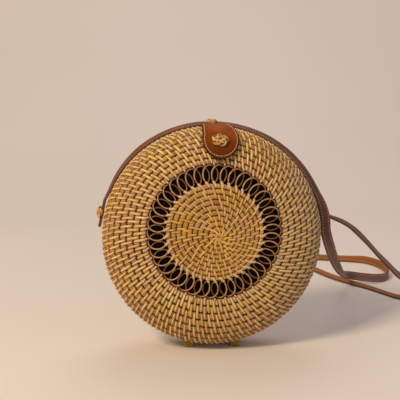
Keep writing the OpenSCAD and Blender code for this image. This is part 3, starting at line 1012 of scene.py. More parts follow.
@dataclass
class CaneKnot:
    """Button knot of one flat cane that crosses itself over and under, on a dome."""

    name: str
    centre: Vector
    axis: Vector
    along: Vector
    half_long: float
    half_wide: float
    height: float
    strip_w: float = 2.6
    strip_t: float = 0.9
    bights: int = 5

    def build(self, material: bpy.types.Material) -> bpy.types.Object:
        """Builds the knot.

        Args:
            material: Cane finish.

        Returns:
            The knot's object.
        """
        up = np.array(self.axis.normalized())
        first = np.array(self.along.normalized())
        first = unit(first - np.dot(first, up) * up)
        basis = np.stack([first, np.cross(up, first), up])
        stock = MeshStock()
        self._core(stock, basis)
        t = np.linspace(0, 2 * np.pi, 150, endpoint=False)
        reach = (1.95 + 1.05 * np.cos(self.bights * t)) / 3 * 0.94
        weave = np.sin(2 * self.bights * t)
        long, wide = self.half_long - self.strip_w / 3, self.half_wide - self.strip_w / 3
        dome = np.sqrt(1 - 0.85 * reach**2)
        path = np.stack(
            [
                reach * long * np.cos(3 * t),
                reach * wide * np.sin(3 * t),
                (self.height - 1.0) * dome + 0.42 * weave,
            ],
            -1,
        )
        hint = np.stack(
            [path[:, 0] / long**2, path[:, 1] / wide**2, path[:, 2] / self.height**2 + 0.01], -1
        )
        _, across, upward = frames_along(path, unit(hint), closed=True)
        section = rounded_section(self.strip_w * MM, self.strip_t * MM, 12, 2.4)
        # Painted shade: crest falls where the strip dives under and at its edges, so these are painted darker.
        edge = np.clip(1.15 - np.abs(section[:, 0]) / (self.strip_w * MM / 2) * 0.75, 0, 1)
        stock.tube(
            np.array(self.centre) + path @ basis * MM, across @ basis, upward @ basis, section,
            closed=True, tone=0.55 + 0.3 * np.sin(3.7 * t), hue=0.45,
            crest=(0.7 + 0.3 * weave)[:, None] * edge[None, :],
        )
        return stock.build(self.name, material)

    def _core(self, stock: MeshStock, basis: np.ndarray) -> None:
        """Adds the core under the crossings, painted dark as the shade in the gaps between them."""
        rings, sides = 7, 24
        lift = np.linspace(0, 1, rings)
        a = np.linspace(0, 2 * np.pi, sides, endpoint=False)
        scale = np.sqrt(np.clip(1 - lift**2, 0.0004, 1))
        local = np.stack(
            [
                (self.half_long - 1.1) * scale[:, None] * np.cos(a),
                (self.half_wide - 1.1) * scale[:, None] * np.sin(a),
                np.repeat(lift[:, None] * (self.height - 1.2), sides, 1),
            ],
            -1,
        ).reshape(-1, 3)
        points = np.array(self.centre) + local @ basis * MM
        grid = np.arange(rings * sides).reshape(rings, sides)
        faces = np.stack(
            [grid[:-1], np.roll(grid[:-1], -1, 1), np.roll(grid[1:], -1, 1), grid[1:]], -1
        ).reshape(-1, 4).tolist()
        faces += [grid[0][::-1].tolist(), grid[-1].tolist()]
        # Painted shade: the core gets a dark tone and a low crest.
        stock.add(points, faces, tone=0.2, hue=0.5, crest=0.3)


# Leather.


@dataclass
class Flap:
    """Leather flap: one piece that bends over the rims, stitched along its edge."""

    leather: bpy.types.Material
    thread: bpy.types.Material
    inner_grow: float = 0.3
    stand: float = 4.5
    thick: float = 1.9
    neck: tuple[float, float] = (-10.0, 16.0)
    tip: tuple[float, float] = (5.7, 89.4)
    tip_r: float = 16.2
    shoulder: float = 98.2
    root_len: float = 9.6

    def __post_init__(self) -> None:
        """Works out the layer's outer radius and depth."""
        self.outer_r = FORM.radius + self.inner_grow + self.thick
        self.outer_d = FORM.depth + self.stand + self.thick

    def _inside(self, x: np.ndarray, up: np.ndarray) -> np.ndarray:
        """Says which places of the front view lie in the flap's outline."""
        tx, tu = self.tip
        neck = (x >= self.neck[0]) & (x <= self.neck[1]) & (up >= tu)
        ball = np.hypot(x - tx, up - tu) <= self.tip_r
        share = np.clip((self.shoulder - up) / (self.shoulder - tu), 0, 1)
        left = self.neck[0] + share * (tx - self.tip_r - self.neck[0])
        right = self.neck[1] + share * (tx + self.tip_r - self.neck[1])
        web = (up >= tu) & (x >= left) & (x <= right)
        return neck | ball | web

    def _spans(self, radius: float) -> tuple[float, float]:
        """Gives the angles from the top, to the left and right, between which a radius lies in it."""
        turn = np.radians(np.linspace(-16, 22, 1521))
        inside = self._inside(radius * np.sin(turn), radius * np.cos(turn))
        found = turn[inside]
        return (float(found.min()), float(found.max())) if len(found) else (0.0, 0.0)

    def _stations(self) -> list[tuple[float, float]]:
        """Gives radius and signed depth from the root's end over the rim to the tip."""
        stations = []
        back = np.linspace(-self.root_len, 0, 7)
        for out in back[:-1]:
            share = abs(out) / self.outer_d
            stations.append((self.outer_r * (1 - share**3) ** (1 / 3), out))
        lowest = math.hypot(*self.tip) - self.tip_r
        a = np.linspace(0, 1, 400)
        angle = np.pi / 2 * (1 - a)
        r = self.outer_r * np.sin(angle) ** (2 / 3)
        d = self.outer_d * np.cos(angle) ** (2 / 3)
        length = np.concatenate([[0], np.cumsum(np.hypot(np.diff(r), np.diff(d)))])
        end = np.interp(-lowest - 0.02, -r, length)
        spread = np.sin(np.linspace(0, np.pi / 2, 34)) * end
        stations += [(float(np.interp(s, length, r)), float(np.interp(s, length, d))) for s in spread]
        return stations

    def _surface(self, radius: float, out: float, turn: np.ndarray, sink: float) -> np.ndarray:
        """Places points on the layer, sunk below its outer face."""
        normal_r = (radius / self.outer_r) ** 2 / self.outer_r
        normal_o = (abs(out) / self.outer_d) ** 2 / self.outer_d
        size = math.hypot(normal_r, normal_o)
        r = radius - sink * normal_r / size
        o = out - math.copysign(1, out) * sink * normal_o / size
        return FORM.place(r * np.sin(turn), r * np.cos(turn), np.full_like(turn, o), Side.FRONT)

    def build(self) -> list[bpy.types.Object]:
        """Builds the leather and its stitches."""
        stock = MeshStock()
        columns = 25
        share = np.linspace(-1, 1, columns)
        share = np.sign(share) * (1 - (1 - np.abs(share)) ** 1.5)
        stations = self._stations()
        top, bottom, edge = [], [], []
        for k, (radius, out) in enumerate(stations):
            left, right = self._spans(radius)
            if out < 0:
                left, right = (side / self.outer_r for side in self.neck)
            turn = (left + right) / 2 + share * (right - left) / 2
            gap = (1 - np.abs(share)) * (right - left) / 2 * radius
            near = np.minimum(gap, 3.0)
            if k == 0:
                near = near * 0
            round_off = 0.75 * np.clip(1 - near / 0.9, 0, 1) ** 2
            top.append(self._surface_row(radius, out, turn, round_off))
            bottom.append(self._surface_row(radius, out, turn, self.thick - round_off))
            edge.append(np.clip(1.25 - near / 1.1, 0, 1))
        rows = len(stations)
        points = np.concatenate([np.array(top).reshape(-1, 3), np.array(bottom).reshape(-1, 3)])
        grid = np.arange(rows * columns).reshape(rows, columns)
        low = grid + rows * columns
        faces = np.stack([grid[:-1, :-1], grid[:-1, 1:], grid[1:, 1:], grid[1:, :-1]], -1).reshape(-1, 4)
        under = np.stack([low[:-1, :-1], low[1:, :-1], low[1:, 1:], low[:-1, 1:]], -1).reshape(-1, 4)
        faces = faces.tolist() + under.tolist()
        for i in range(rows - 1):
            faces.append([grid[i, 0], grid[i + 1, 0], low[i + 1, 0], low[i, 0]])
            faces.append([grid[i, -1], low[i, -1], low[i + 1, -1], grid[i + 1, -1]])
        for j in range(columns - 1):
            faces.append([grid[0, j], low[0, j], low[0, j + 1], grid[0, j + 1]])
            faces.append([grid[-1, j], grid[-1, j + 1], low[-1, j + 1], low[-1, j]])
        borders = np.array(edge).reshape(-1)
        stock.add(
            points, faces, edge=np.concatenate([borders, np.clip(borders * 1.2, 0, 1)]),
            under=np.concatenate([np.zeros(len(borders)), np.ones(len(borders))]),
        )
        leather = stock.build("flap_leather_piece", self.leather)
        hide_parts("flap_root", "flap_tongue")
        stitches = self._stitches()
        for piece in (leather, stitches):
            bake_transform(piece)
        return [leather, stitches]

    def _surface_row(self, radius: float, out: float, turn: np.ndarray, sink: np.ndarray) -> np.ndarray:
        """Places one row of points, each sunk by its own depth."""
        return np.array([self._surface(radius, out, turn[i : i + 1], sink[i])[0] for i in range(len(turn))])

    def _stitches(self) -> bpy.types.Object:
        """Builds the line of saddle stitches 2 mm inside the edge."""
        stock = MeshStock()
        inset = 2.0
        tx, tu = self.tip
        r = self.tip_r - inset
        low, high = self.neck[0] + inset, self.neck[1] - inset
        turn = np.linspace(math.acos((low - tx) / r), 2 * math.pi + math.acos((high - tx) / r), 48)
        ball = [(tx + r * math.cos(a), tu + r * math.sin(a)) for a in turn]
        left = [(low, 101.6), (low, (101.6 + ball[0][1]) / 2)]
        line = curve_through(np.array(left + ball + [(high, 101.8)]), 8)
        length = np.concatenate([[0], np.cumsum(np.linalg.norm(np.diff(line, axis=0), axis=1))])
        pitch, dash = 2.1, 1.4
        for start in np.arange(0.4, length[-1] - dash, pitch):
            s = start + np.linspace(0, dash, 5)
            x, up = np.interp(s, length, line[:, 0]), np.interp(s, length, line[:, 1])
            radius = np.hypot(x, up)
            turn = np.arctan2(x, up)
            out = self.outer_d * np.clip(1 - (radius / self.outer_r) ** 3, 0, 1) ** (1 / 3)
            lift = 0.16 * np.sin(np.pi * np.linspace(0.08, 0.92, 5)) - 0.02
            path = np.array(
                [self._surface(radius[i], out[i], turn[i : i + 1], -lift[i])[0] for i in range(5)]
            )
            inner = np.array(
                [self._surface(radius[i], out[i], turn[i : i + 1], 1.0)[0] for i in range(5)]
            )
            _, across, upward = frames_along(path, unit(path - inner))
            stock.tube(path, across, upward, rounded_section(0.72 * MM, 0.5 * MM, 6), tone=1.0)
        return stock.build("flap_stitches", self.thread)


@dataclass
class Strap:
    """Flat leather strap: over the back half's rim, down to the floor in loose curves and back."""

    leather: bpy.types.Material
    thread: bpy.types.Material
    width: float = 10.0
    thick: float = 2.4
    gap: float = 0.4
    seat: float = -0.5
    knot_angle: float = 12.0
    knot_back: float = 8.0
    tail_up: float = 9.0
    tail_back: float = 12.0
    steps: int = 6

    # Angle up from the right, distance behind the parting plane and lean to the front.
    RIM = (
        (156, 8.6, 6), (149, 9.4, 9), (142, 10.6, 12), (135, 12, 14), (128, 13.4, 15),
        (121, 14.8, 15), (114, 15.8, 15), (107, 16.4, 15), (100, 16.6, 15), (93, 16.6, 15),
        (86, 16.6, 15), (79, 16.2, 16), (72, 15.4, 18), (65, 14.2, 21), (58, 12.8, 25),
        (51, 11.4, 29), (44, 9.8, 33), (37, 8.2, 37), (30, 6.6, 41),
    )
    # Place and the direction that the outer side faces.
    FREE = (
        (97.2, 3.8, 141.2, 4, -4, 1), (102.1, 0, 129.6, 2.8, -4.8, 0.4), (104.6, -2, 118.2, 1.6, -5, 0),
        (105.4, -2, 107, 1.2, -5, 0), (109, 4, 96.6, 1.2, -5, -1), (114, 16, 87.5, 1.6, -5, -2),
        (119.2, 30, 78.9, 2, -5, -2), (131.8, 65, 61.5, 3, -4, -1.6), (147.3, 110, 44, 4.2, -3, -0.6),
        (162, 156, 30, 4.6, -1.4, 1), (172, 188, 21, 4.5, -0.6, 2), (180, 210, 15, 4.6, -2.4, 1),
        (187.5, 225, 11.4, 3, -4.6, 0), (197, 231.5, 8.8, 1, -5, 0), (209, 231, 7.2, 0, -5, 0),
        (221, 231.5, 6, 1, -5, 0), (233, 236, 5.3, 3, -4, 0), (242, 247, 5.3, 4, -2, 0),
        (248.5, 265, 5.2, 5, -1, 0), (252, 288, 5.2, 5, 0, 0), (252, 311, 5.2, 5, 1, -1),
        (247.5, 331, 5.3, 4, 2, -2), (237.5, 347, 5.1, 3, 4, -3), (221, 356.3, 4.4, 1, 4, -5),
        (201.5, 364.4, 4.1, 1, 4, -6), (181, 371.5, 3.9, 0, 4, -6), (162, 371, 3.8, -2, 3, -6),
        (150, 359, 3.8, -4, 1, -6), (149, 341, 3.6, -3, -1, -6), (153.5, 324, 2.8, -1, 0.5, -5),
        (159.5, 308, 2.2, 0, 1.2, -5), (165, 290, 2.2, 0, 1.3, -5), (172, 266.6, 2.2, 0, 1.3, -5),
        (180.2, 246, 2.2, 0, 1.3, -5), (188.6, 229.5, 2.1, 0, 1.1, -5), (197.5, 214, 1.9, 0, 0.8, -5),
        (206, 200, 1.6, 0, 0.4, -5), (213.6, 184, 1.3, 0, 0, -5), (220.6, 168, 1.3, 0, 0, -5),
        (228, 153, 1.9, 0, 1, -5), (240, 140, 3.9, 1, 3, -5), (256, 135, 5.1, -1, 4, -3),
        (272, 139, 5.3, -3, 4, -1), (283, 152, 5.4, -5, 2, 0), (285, 168, 6.2, -5, -2, 1),
        (276, 181, 8.6, -3, -4, 3), (260, 180, 13, 1, -4, 3), (241, 161, 20, 3, -3, 3),
        (220, 135.5, 32, 4, -3, 3), (204, 120, 46.3, 5, -2.4, 3), (188, 105, 60.7, 5, -2, 3),
        (172.5, 90, 76, 5, -2, 3), (157.4, 75, 89.8, 5, -2, 3), (143, 60.5, 100.8, 5, -1.8, 5),
        (132.2, 51, 107, 4, -1.2, 6), (121, 43, 112, 3, -0.8, 7), (111.3, 37, 117, 3.4, -0.8, 6),
        (104, 32, 121.8, 5, -1, 3),
    )

    def _end(self, degrees: float, along: float, behind: float) -> tuple[list[float], list[float]]:
        """Gives a point on a fixed end, and the way that it faces."""
        a = math.radians(degrees)
        r = FORM.radius + self.gap + self.thick / 2
        place = [
            r * math.cos(a) - along * math.sin(a),
            self.knot_back + behind,
            FORM.centre_z + r * math.sin(a) + along * math.cos(a),
        ]
        return place, [math.cos(a), 0.0, math.sin(a)]

    def _rim_point(self, degrees: float, y: float, lean: float) -> tuple[list[float], list[float]]:
        """Gives a point of the strap over the rim, and the way that it faces."""
        a, tilt = math.radians(degrees), math.radians(lean)
        front_edge = max(0.0, y - self.width / 2 * math.cos(tilt))
        r = (
            FORM.radius_at(front_edge)
            + self.seat
            + self.thick / 2 * math.cos(tilt)
            + self.width / 2 * math.sin(tilt)
        )
        place = [r * math.cos(a), y, FORM.centre_z + r * math.sin(a)]
        return place, [math.cos(tilt) * math.cos(a), -math.sin(tilt), math.cos(tilt) * math.sin(a)]

    def route(self) -> tuple[np.ndarray, np.ndarray]:
        """Gives the strap's centre line in metres, and the directions that its outer side faces."""
        left, right = 180 - self.knot_angle, self.knot_angle
        pairs = [self._end(left, -self.tail_up, 0), self._end(left, -self.tail_up - self.thick, 0)]
        pairs += [self._rim_point(*p) for p in self.RIM]
        pairs += [(list(p[:3]), list(p[3:])) for p in self.FREE]
        pairs += [
            self._end(right, 0, self.tail_back + 2 * self.thick),
            self._end(right, 0, self.tail_back),
        ]
        places = np.array([p for p, _ in pairs]) * MM
        facing = unit(np.array([d for _, d in pairs], float))
        along = np.gradient(places, axis=0)
        along = unit(along)
        facing = unit(facing - np.sum(facing * along, 1, keepdims=True) * along)
        return curve_through(places, self.steps), unit(curve_through(facing, self.steps))

    def build(self) -> bpy.types.Object:
        path, facing = self.route()
        _, across, upward = frames_along(path, facing)
        half_w, half_t = self.width / 2, self.thick / 2
        rounding = 0.55
        section = np.array(
            [
                (half_w, half_t - rounding), (half_w - rounding, half_t), (half_w - 2.0, half_t),
                (2.0 - half_w, half_t), (rounding - half_w, half_t), (-half_w, half_t - rounding),
                (-half_w, rounding - half_t), (rounding - half_w, -half_t), (2.0 - half_w, -half_t),
                (half_w - 2.0, -half_t), (half_w - rounding, -half_t), (half_w, rounding - half_t),
            ]
        )
        edge = np.array([1, 0.45, 0, 0, 0.45, 1, 1, 0.45, 0, 0, 0.45, 1], float)
        under = np.array([0, 0, 0, 0, 0, 0, 0.4, 1, 1, 1, 1, 0.4], float)
        stock = MeshStock()
        stock.tube(
            path, across, upward, section * MM,
            edge=np.tile(edge, (len(path), 1)), under=np.tile(under, (len(path), 1)),
        )
        strap = stock.build("strap_band", self.leather)
        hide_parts("strap_over_rim", "strap_floor_run", "strap_rise")
        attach(strap, "back_half")
        stitches = self._stitches(path, across, upward)
        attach(stitches, "back_half")
        return strap

    def _stitches(self, path: np.ndarray, across: np.ndarray, upward: np.ndarray) -> bpy.types.Object:
        """Builds the two rows of stitches on each side of the strap."""
        stock = MeshStock()
        length = np.concatenate([[0], np.cumsum(np.linalg.norm(np.diff(path, axis=0), axis=1))])
        pitch, dash = 2.6 * MM, 1.2 * MM
        section = rounded_section(0.85 * MM, 0.5 * MM, 5)
        for start in np.arange(pitch, length[-1] - pitch, pitch):
            s = start + np.linspace(0, dash, 3)
            at = np.stack([np.interp(s, length, path[:, i]) for i in range(3)], -1)
            side = unit(np.stack([np.interp(s, length, across[:, i]) for i in range(3)], -1))
            up = unit(np.stack([np.interp(s, length, upward[:, i]) for i in range(3)], -1))
            lift = (self.thick / 2 + np.array([-0.06, 0.08, -0.06])) * MM
            for hand in (-1, 1):
                edge = at + hand * (self.width / 2 - 1.8) * MM * side
                for face in (-1, 1):
                    stock.tube(edge + face * up * lift[:, None], side, face * up, section, tone=1.0)
        return stock.build("strap_stitches", self.thread)


# Cloth.


@dataclass
class Lining:
    """Cotton lining of one half, stretched over the inside of its shell."""

    side: Side
    cloth: bpy.types.Material
    inset: float = 4.7
    thick: float = 0.5

    def build(self) -> bpy.types.Object:
        rings, sides = 26, 120
        a = np.linspace(0, 2 * np.pi, sides, endpoint=False)
        start = np.linspace(0.002, np.pi / 2 * 0.985, rings)
        stock = MeshStock()
        layers = []
        for sink in (0.0, self.thick):
            r = (FORM.radius - self.inset - sink) * np.sin(start) ** (2 / 3)
            d = (FORM.depth - self.inset - sink) * np.cos(start) ** (2 / 3)
            d = np.maximum(d, 0.3)
            pucker = 0.12 * np.sin(9 * a)[None, :] * np.sin(2 * start)[:, None]
            layers.append(
                FORM.place(
                    r[:, None] * np.cos(a), r[:, None] * np.sin(a), d[:, None] - np.abs(pucker), self.side
                )
            )
        points = np.concatenate([layer.reshape(-1, 3) for layer in layers])
        grid = np.arange(rings * sides).reshape(rings, sides)
        low = grid + rings * sides

        def quads(g: np.ndarray) -> np.ndarray:
            """Gives the faces of one layer."""
            return np.stack([g[:-1], np.roll(g[:-1], -1, 1), np.roll(g[1:], -1, 1), g[1:]], -1).reshape(-1, 4)

        faces = quads(grid).tolist() + quads(low)[:, ::-1].tolist()
        faces += np.stack([grid[-1], np.roll(grid[-1], -1), np.roll(low[-1], -1), low[-1]], -1).tolist()
        faces += [grid[0][::-1].tolist(), low[0].tolist()]
        if self.side is Side.BACK:
            faces = [face[::-1] for face in faces]
        stock.add(points, faces)
        lining = stock.build(f"{self.side.word}_lining_cloth", self.cloth)
        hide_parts(f"{self.side.word}_lining")
        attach(lining, self.side.body)
        return lining


@dataclass
class Gusset:
    """Folded cloth that joins the two halves at one side, in pleats like a fan."""

    name: str
    middle: float
    cloth: bpy.types.Material
    outer_r: float = 94.4
    width: float = 11.0
    half_angle: float = 32.0
    thick: float = 0.3

    def build(self) -> bpy.types.Object:
        steps = 30
        a = np.radians(self.middle + np.linspace(-self.half_angle, self.half_angle, steps))
        folds = 9
        lean = np.linspace(-1, 1, folds)
        r = self.outer_r - self.width * (1 - np.abs(lean))
        y = 0.62 * lean
        stock = MeshStock()
        centre = np.stack(
            [
                r[None, :] * np.cos(a)[:, None],
                np.repeat(y[None, :], steps, 0),
                FORM.centre_z + r[None, :] * np.sin(a)[:, None],
            ],
            -1,
        )
        shift = np.zeros_like(centre)
        shift[..., 1] = np.where(lean == 0, 0, np.sign(lean))[None, :] * self.thick / 2
        inward = np.stack([-np.cos(a), np.zeros(steps), -np.sin(a)], -1)[:, None, :]
        shift = shift + inward * np.where(lean == 0, self.thick / 2, 0.0)[None, :, None]
        points = np.concatenate([((centre + shift) * MM).reshape(-1, 3), ((centre - shift) * MM).reshape(-1, 3)])
        grid = np.arange(steps * folds).reshape(steps, folds)
        low = grid + steps * folds
        faces = np.stack([grid[:-1, :-1], grid[1:, :-1], grid[1:, 1:], grid[:-1, 1:]], -1).reshape(-1, 4).tolist()
        faces += np.stack([low[:-1, :-1], low[:-1, 1:], low[1:, 1:], low[1:, :-1]], -1).reshape(-1, 4).tolist()
        for j in (0, folds - 1):
            faces += [[grid[i, j], low[i, j], low[i + 1, j], grid[i + 1, j]][:: 1 if j else -1] for i in range(steps - 1)]
        for i in (0, steps - 1):
            faces += [[grid[i, j], grid[i, j + 1], low[i, j + 1], low[i, j]][:: 1 if i else -1] for j in range(folds - 1)]
        stock.add(points, faces)
        piece = stock.build(self.name, self.cloth)
        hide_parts("back_gussets", "front_gussets")
        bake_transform(piece)
        return piece


# Hinge ties.


@dataclass
class HingeTies:
    """Cane wraps under the rims, which are the bag's feet and its hinges."""

    cane: bpy.types.Material
    tie_x: float = 21.5
    tie_w: float = 8.6
    reach: float = 9.0
    core_z: float = 2.2
    loop_r: float = 2.2
    strip_w: float = 1.62
    strip_t: float = 0.8

    def build(self) -> list[bpy.types.Object]:
        """Builds the wraps of both halves."""
        pieces = []
        for side in Side:
            stock = MeshStock()
            rng = np.random.default_rng(51 if side is Side.FRONT else 52)
            for hand in (-1, 1):
                self._wraps(stock, side, hand * self.tie_x, rng)
            piece = stock.build(f"{side.word}_hinge_wraps", self.cane)
            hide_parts(f"hinge_ties_{side.word}")
            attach(piece, side.body)
            pieces.append(piece)
        return pieces

    def _wraps(self, stock: MeshStock, side: Side, x: float, rng: np.random.Generator) -> None:
        """Adds the wraps of one tie on one half."""
        t = self.strip_t / 2
        low = [(self.reach - 0.45, 7.6), (self.reach - 0.45, 4.0), (self.reach - 0.5, 1.4)]
        corner = [(self.reach - 1.1, 0.55), (self.reach - 2.2, t + 0.02)]
        count = 5
        loop_w = (self.tie_w - 0.5) / 3
        for k in range(count):
            at = x - self.tie_w / 2 + self.tie_w * (k + 0.5) / count
            line = low + corner + [(4.0, t + 0.02), (2.6, t + 0.02), (1.1, 0.6), (1.0, 2.4), (1.0, 5.0)]
            self._strip(stock, side, at, line, rng)
        # Loops round the core: the middle one on the front half, the outer two on the back half.
        for shift in ((0,) if side is Side.FRONT else (-1, 1)):
            middle = x + shift * (loop_w + 0.25)
            for part in (-0.5, 0.5):
                turn = np.radians(np.linspace(0, 360, 24, endpoint=False))
                radius = self.loop_r - t - 0.02
                y = radius * np.cos(turn)
                z = self.core_z + radius * np.sin(turn)
                path = np.stack([np.full(24, middle + part * loop_w / 2), y, z], -1) * MM
                hint = np.stack([np.zeros(24), np.cos(turn), np.sin(turn)], -1)
                _, across, upward = frames_along(path, hint, closed=True)
                section = rounded_section(loop_w / 2 * 0.98 * MM, self.strip_t * MM, 8, 2.6)
                stock.tube(
                    path, across, upward, section, closed=True,
                    tone=rng.uniform(0.4, 0.95), crest=1.0,
                )

    def _strip(
        self, stock: MeshStock, side: Side, x: float, line: list[tuple[float, float]],
        rng: np.random.Generator,
    ) -> None:
        """Adds one strip that wraps a half's pad, in its own plane."""
        flat = curve_through(np.array(line), 4)
        path = np.stack([np.full(len(flat), x), side.value * flat[:, 0], flat[:, 1]], -1) * MM
        middle = np.array([x, side.value * 4.8, 3.6]) * MM
        _, across, upward = frames_along(path, unit(path - middle))
        section = rounded_section(self.strip_w * MM, self.strip_t * MM, 8, 2.6)
        stock.tube(path, across, upward, section, tone=rng.uniform(0.4, 0.95), crest=1.0)


# The scene.


@dataclass
class Studio:
    """Pale floor, soft lamps and the camera at the photograph's angle."""

    eye: tuple[float, float, float] = (-55.63, -706.88, 228.23)
    look: tuple[float, float, float] = (0.06163, 0.98965, -0.12962)
    lens: float = 70.63

    def camera(self) -> None:
        """Sets the camera."""
        data = bpy.data.cameras.new("view")
        data.lens = self.lens
        data.sensor_width = 36.0
        data.shift_x = 0.0031
        data.clip_start = 0.01
        data.clip_end = 50
        camera = bpy.data.objects.new("view", data)
        camera.location = Vector(self.eye) * MM
        camera.rotation_euler = Vector(self.look).to_track_quat("-Z", "Y").to_euler()
        bpy.context.scene.collection.objects.link(camera)
        bpy.context.scene.camera = camera

    def floor(self) -> None:
        """Makes the floor, which curves up into the wall behind the bag, and keeps its shadow."""
        turn = np.linspace(0, np.pi / 2, 17)
        far, bend, high, half = 1.7, 0.9, 4.0, 5.0
        y = np.concatenate([[-4.0], far - bend + bend * np.sin(turn), [far]])
        z = np.concatenate([[0.0], bend - bend * np.cos(turn), [high]])
        points = np.concatenate([np.stack([np.full(len(y), x), y, z], 1) for x in (-half, half)])
        rows = np.arange(len(y) - 1)
        faces = np.stack([rows, rows + len(y), rows + len(y) + 1, rows + 1], 1)
        stock = MeshStock()
        stock.add(points, faces)
        material, tree, shader = start_material("painted_floor")
        shade = ramp(tree, grain(tree, 900, 2), [(0.3, "#E2D8CE"), (0.7, "#EADFD6")])
        tree.links.new(shade, shader.inputs["Base Color"])
        shader.inputs["Roughness"].default_value = 0.8
        shader.inputs["Specular IOR Level"].default_value = 0.1
        stock.build("floor", material)

    def lamps(self) -> None:
        """Makes the lamps and the world's light."""
        self._lamp("window", (-1.15, -1.2, 1.45), 0.5, 33, "#FFEBCA")
        self._lamp("fill", (1.4, -1.3, 0.6), 1.4, 3, "#E2E4FF")
        self._lamp("rear", (0.2, 1.0, 1.7), 1.2, 8, "#F8F2F2")
        world = bpy.data.worlds.new("studio")
        world.use_nodes = True
        tree = world.node_tree
        tree.nodes.clear()
        rays = add_node(tree, "ShaderNodeLightPath")
        seen = sum_of(
            tree,
            sum_of(tree, rays.outputs["Is Camera Ray"], rays.outputs["Is Glossy Ray"], "MAXIMUM"),
            rays.outputs["Is Transmission Ray"],
            "MAXIMUM",
        )
        plain = add_node(tree, "ShaderNodeBackground", {"Color": linear("#ECEAF2"), "Strength": 0.34})
        bright = add_node(tree, "ShaderNodeBackground", {"Color": linear("#FBF7F3"), "Strength": 1.0})
        mix = add_node(tree, "ShaderNodeMixShader", {0: seen, 1: plain.outputs[0], 2: bright.outputs[0]})
        add_node(tree, "ShaderNodeOutputWorld", {"Surface": mix.outputs[0]})
        bpy.context.scene.world = world

    def _lamp(self, name: str, place: tuple[float, float, float], size: float, power: float, colour: str) -> None:
        """Makes one soft square lamp that faces the bag."""
        data = bpy.data.lights.new(name, "AREA")
        data.size = size
        data.energy = power
        data.color = linear(colour)[:3]
        lamp = bpy.data.objects.new(name, data)
        lamp.location = place
        lamp.rotation_euler = (Vector((0.02, 0, 0.1)) - Vector(place)).to_track_quat("-Z", "Y").to_euler()
        bpy.context.scene.collection.objects.link(lamp)


def dress_metal(frame: dict, nickel: bpy.types.Material) -> None:
    """Gives the closure's metal parts their finish."""
    for name in ("closure_plate", "closure_washer", "closure_magnet", "closure_rivet"):
        materials = frame["nodes"][name].data.materials
        materials.clear()
        materials.append(nickel)


def build_knots(cane: bpy.types.Material) -> list[bpy.types.Object]:
    """Builds the knots on the flap, on top and at the two sides.

    Args:
        cane: Finish of the knots.

    Returns:
        The knots.
    """
    x, up = 4.5, 85.5
    out = float(FORM.depth_at(np.array(math.hypot(x, up))))
    normal = FORM.normal(np.array([x]), np.array([up]), np.array([out]))[0]
    axis = Vector(FORM.turn(normal[0], normal[1], normal[2], Side.FRONT))
    face = Vector(FORM.place(np.array(x), np.array(up), np.array(out), Side.FRONT))
    knots = [CaneKnot("flap_cane_knot", face + axis * 4.6 * MM, axis, Vector((up, 0, -x)), 8.3, 6.6, 5.4)]
    low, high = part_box("top_knot")
    seat = Vector(((low.x + high.x) / 2, (low.y + high.y) / 2, 0.2052))
    knots.append(
        CaneKnot("top_cane_knot", seat, Vector((0, -0.3, 1)), Vector((1, 0, 0)), 6.2, 4.8, 4.0, 2.3, 0.8, 4)
    )
    for word, degrees in (("left", 168.0), ("right", 12.0)):
        a = math.radians(degrees)
        radius = (FORM.radius + 1.6) * MM
        seat = Vector((radius * math.cos(a), 0.0058, FORM.centre_z * MM + radius * math.sin(a)))
        axis, along = Vector((math.cos(a), -0.35, math.sin(a))), Vector((-math.sin(a), 0, math.cos(a)))
        knots.append(CaneKnot(f"side_cane_knot_{word}", seat, axis, along, 6.4, 6.6, 5.2, 2.5, 0.9, 4))
    made = []
    nodes = ("flap_knot", "top_knot", "side_knot_left", "side_knot_right")
    bodies = ("flap", "back_half", "back_half", "back_half")
    for knot, node, body in zip(knots, nodes, bodies):
        piece = knot.build(cane)
        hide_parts(node)
        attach(piece, body)
        made.append(piece)
    return made


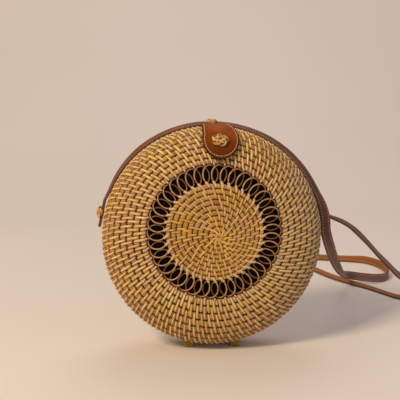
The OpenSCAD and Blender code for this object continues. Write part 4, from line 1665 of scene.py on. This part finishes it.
def main() -> None:
    """Builds the scene in order: camera and strap first, then the bag."""
    logging.basicConfig(level=logging.INFO, format="%(name)s: %(message)s")
    for item in list(bpy.data.objects):
        bpy.data.objects.remove(item)
    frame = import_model()
    scene = bpy.context.scene
    scene.view_settings.view_transform = "Standard"

    studio = Studio()
    studio.camera()

    strap_leather = CutLeather(
        "strap_cowhide", "#783E1E", "#582A14", "#74483A", "#94520E",
        # Painted shade: darker and greyer towards the right; painted highlight: paler and greyer near the floor.
        painted_shade_and_highlight=(("X", 20, 90, 0.6, "#563A32"), ("Z", 120, 25, 0.8, "#86665E")),
    ).build()
    flap_leather = CutLeather(
        "flap_cowhide", "#984C04", "#763402", "#4A1A06", "#8A5A34",
        # Painted shade: the flap is painted darker towards its lower end.
        painted_shade_and_highlight=(("Z", 197, 181, 0.8, "#4C1E02"),), gloss=0.08,
    ).build()
    pale_thread = WaxedThread("waxed_thread_pale", "#DCBA90").build()
    dark_thread = WaxedThread("waxed_thread_dark", "#C8A888").build()
    strap = Strap(strap_leather, dark_thread).build()
    LOG.info("built %s", strap.name)

    strips = SplitCane("split_cane_strips", "#FBDC8E", "#EEC068", "#CE9848", "#E8B684", groove_shade="#5A2A14").build()
    cores = SplitCane("split_cane_cores", "#D4A45A", "#B6803A", "#8C5A22", "#BA8660", groove_shade="#3A140C").build()
    fine = SplitCane("split_cane_fine", "#E0AC48", "#C49030", "#946418", "#C4966C", groove_shade="#4A1C0C").build()
    thin = SplitCane("split_cane_thin", "#F0C468", "#DCA848", "#B88230", "#D8A880", groove_shade="#5A2410", eye="#B06E18").build()
    hooks = SplitCane("split_cane_hooks", "#E6C69C", "#D8B084", "#BC9064", "#D8A884").build()
    knots = SplitCane("split_cane_knots", "#F8D080", "#E0A450", "#A86824", "#DCA464", groove_shade="#5A2C0C").build()
    smoked = SmokedCane().build()
    for side in Side:
        for piece in CaneWork(side, strips, cores, fine, thin, smoked, hooks).build():
            LOG.info("built %s", piece.name)

    cotton = PlainWeave().build()
    for side in Side:
        LOG.info("built %s", Lining(side, cotton).build().name)
    for word, middle in (("left", 180.0), ("right", 0.0)):
        LOG.info("built %s", Gusset(f"side_gusset_{word}", middle, cotton).build().name)

    for piece in Flap(flap_leather, pale_thread).build():
        LOG.info("built %s", piece.name)
    for piece in build_knots(knots):
        LOG.info("built %s", piece.name)
    # Painted shade: the hinge ties stand under the bag, and their cane colours are painted darker and more olive.
    ties = SplitCane("split_cane_ties_painted_shade", "#B8903C", "#92702A", "#6A4C1A", "#98743C", groove_shade="#4A2A10").build()
    for piece in HingeTies(ties).build():
        LOG.info("built %s", piece.name)

    for name in ("strap_end_left", "strap_end_right"):
        materials = frame["nodes"][name].data.materials
        materials.clear()
        materials.append(strap_leather)
    materials = frame["nodes"]["hinge_cores"].data.materials
    materials.clear()
    materials.append(smoked)
    dress_metal(frame, SatinNickel().build())

    studio.floor()
    studio.lamps()


if __name__ == "__main__":
    main()
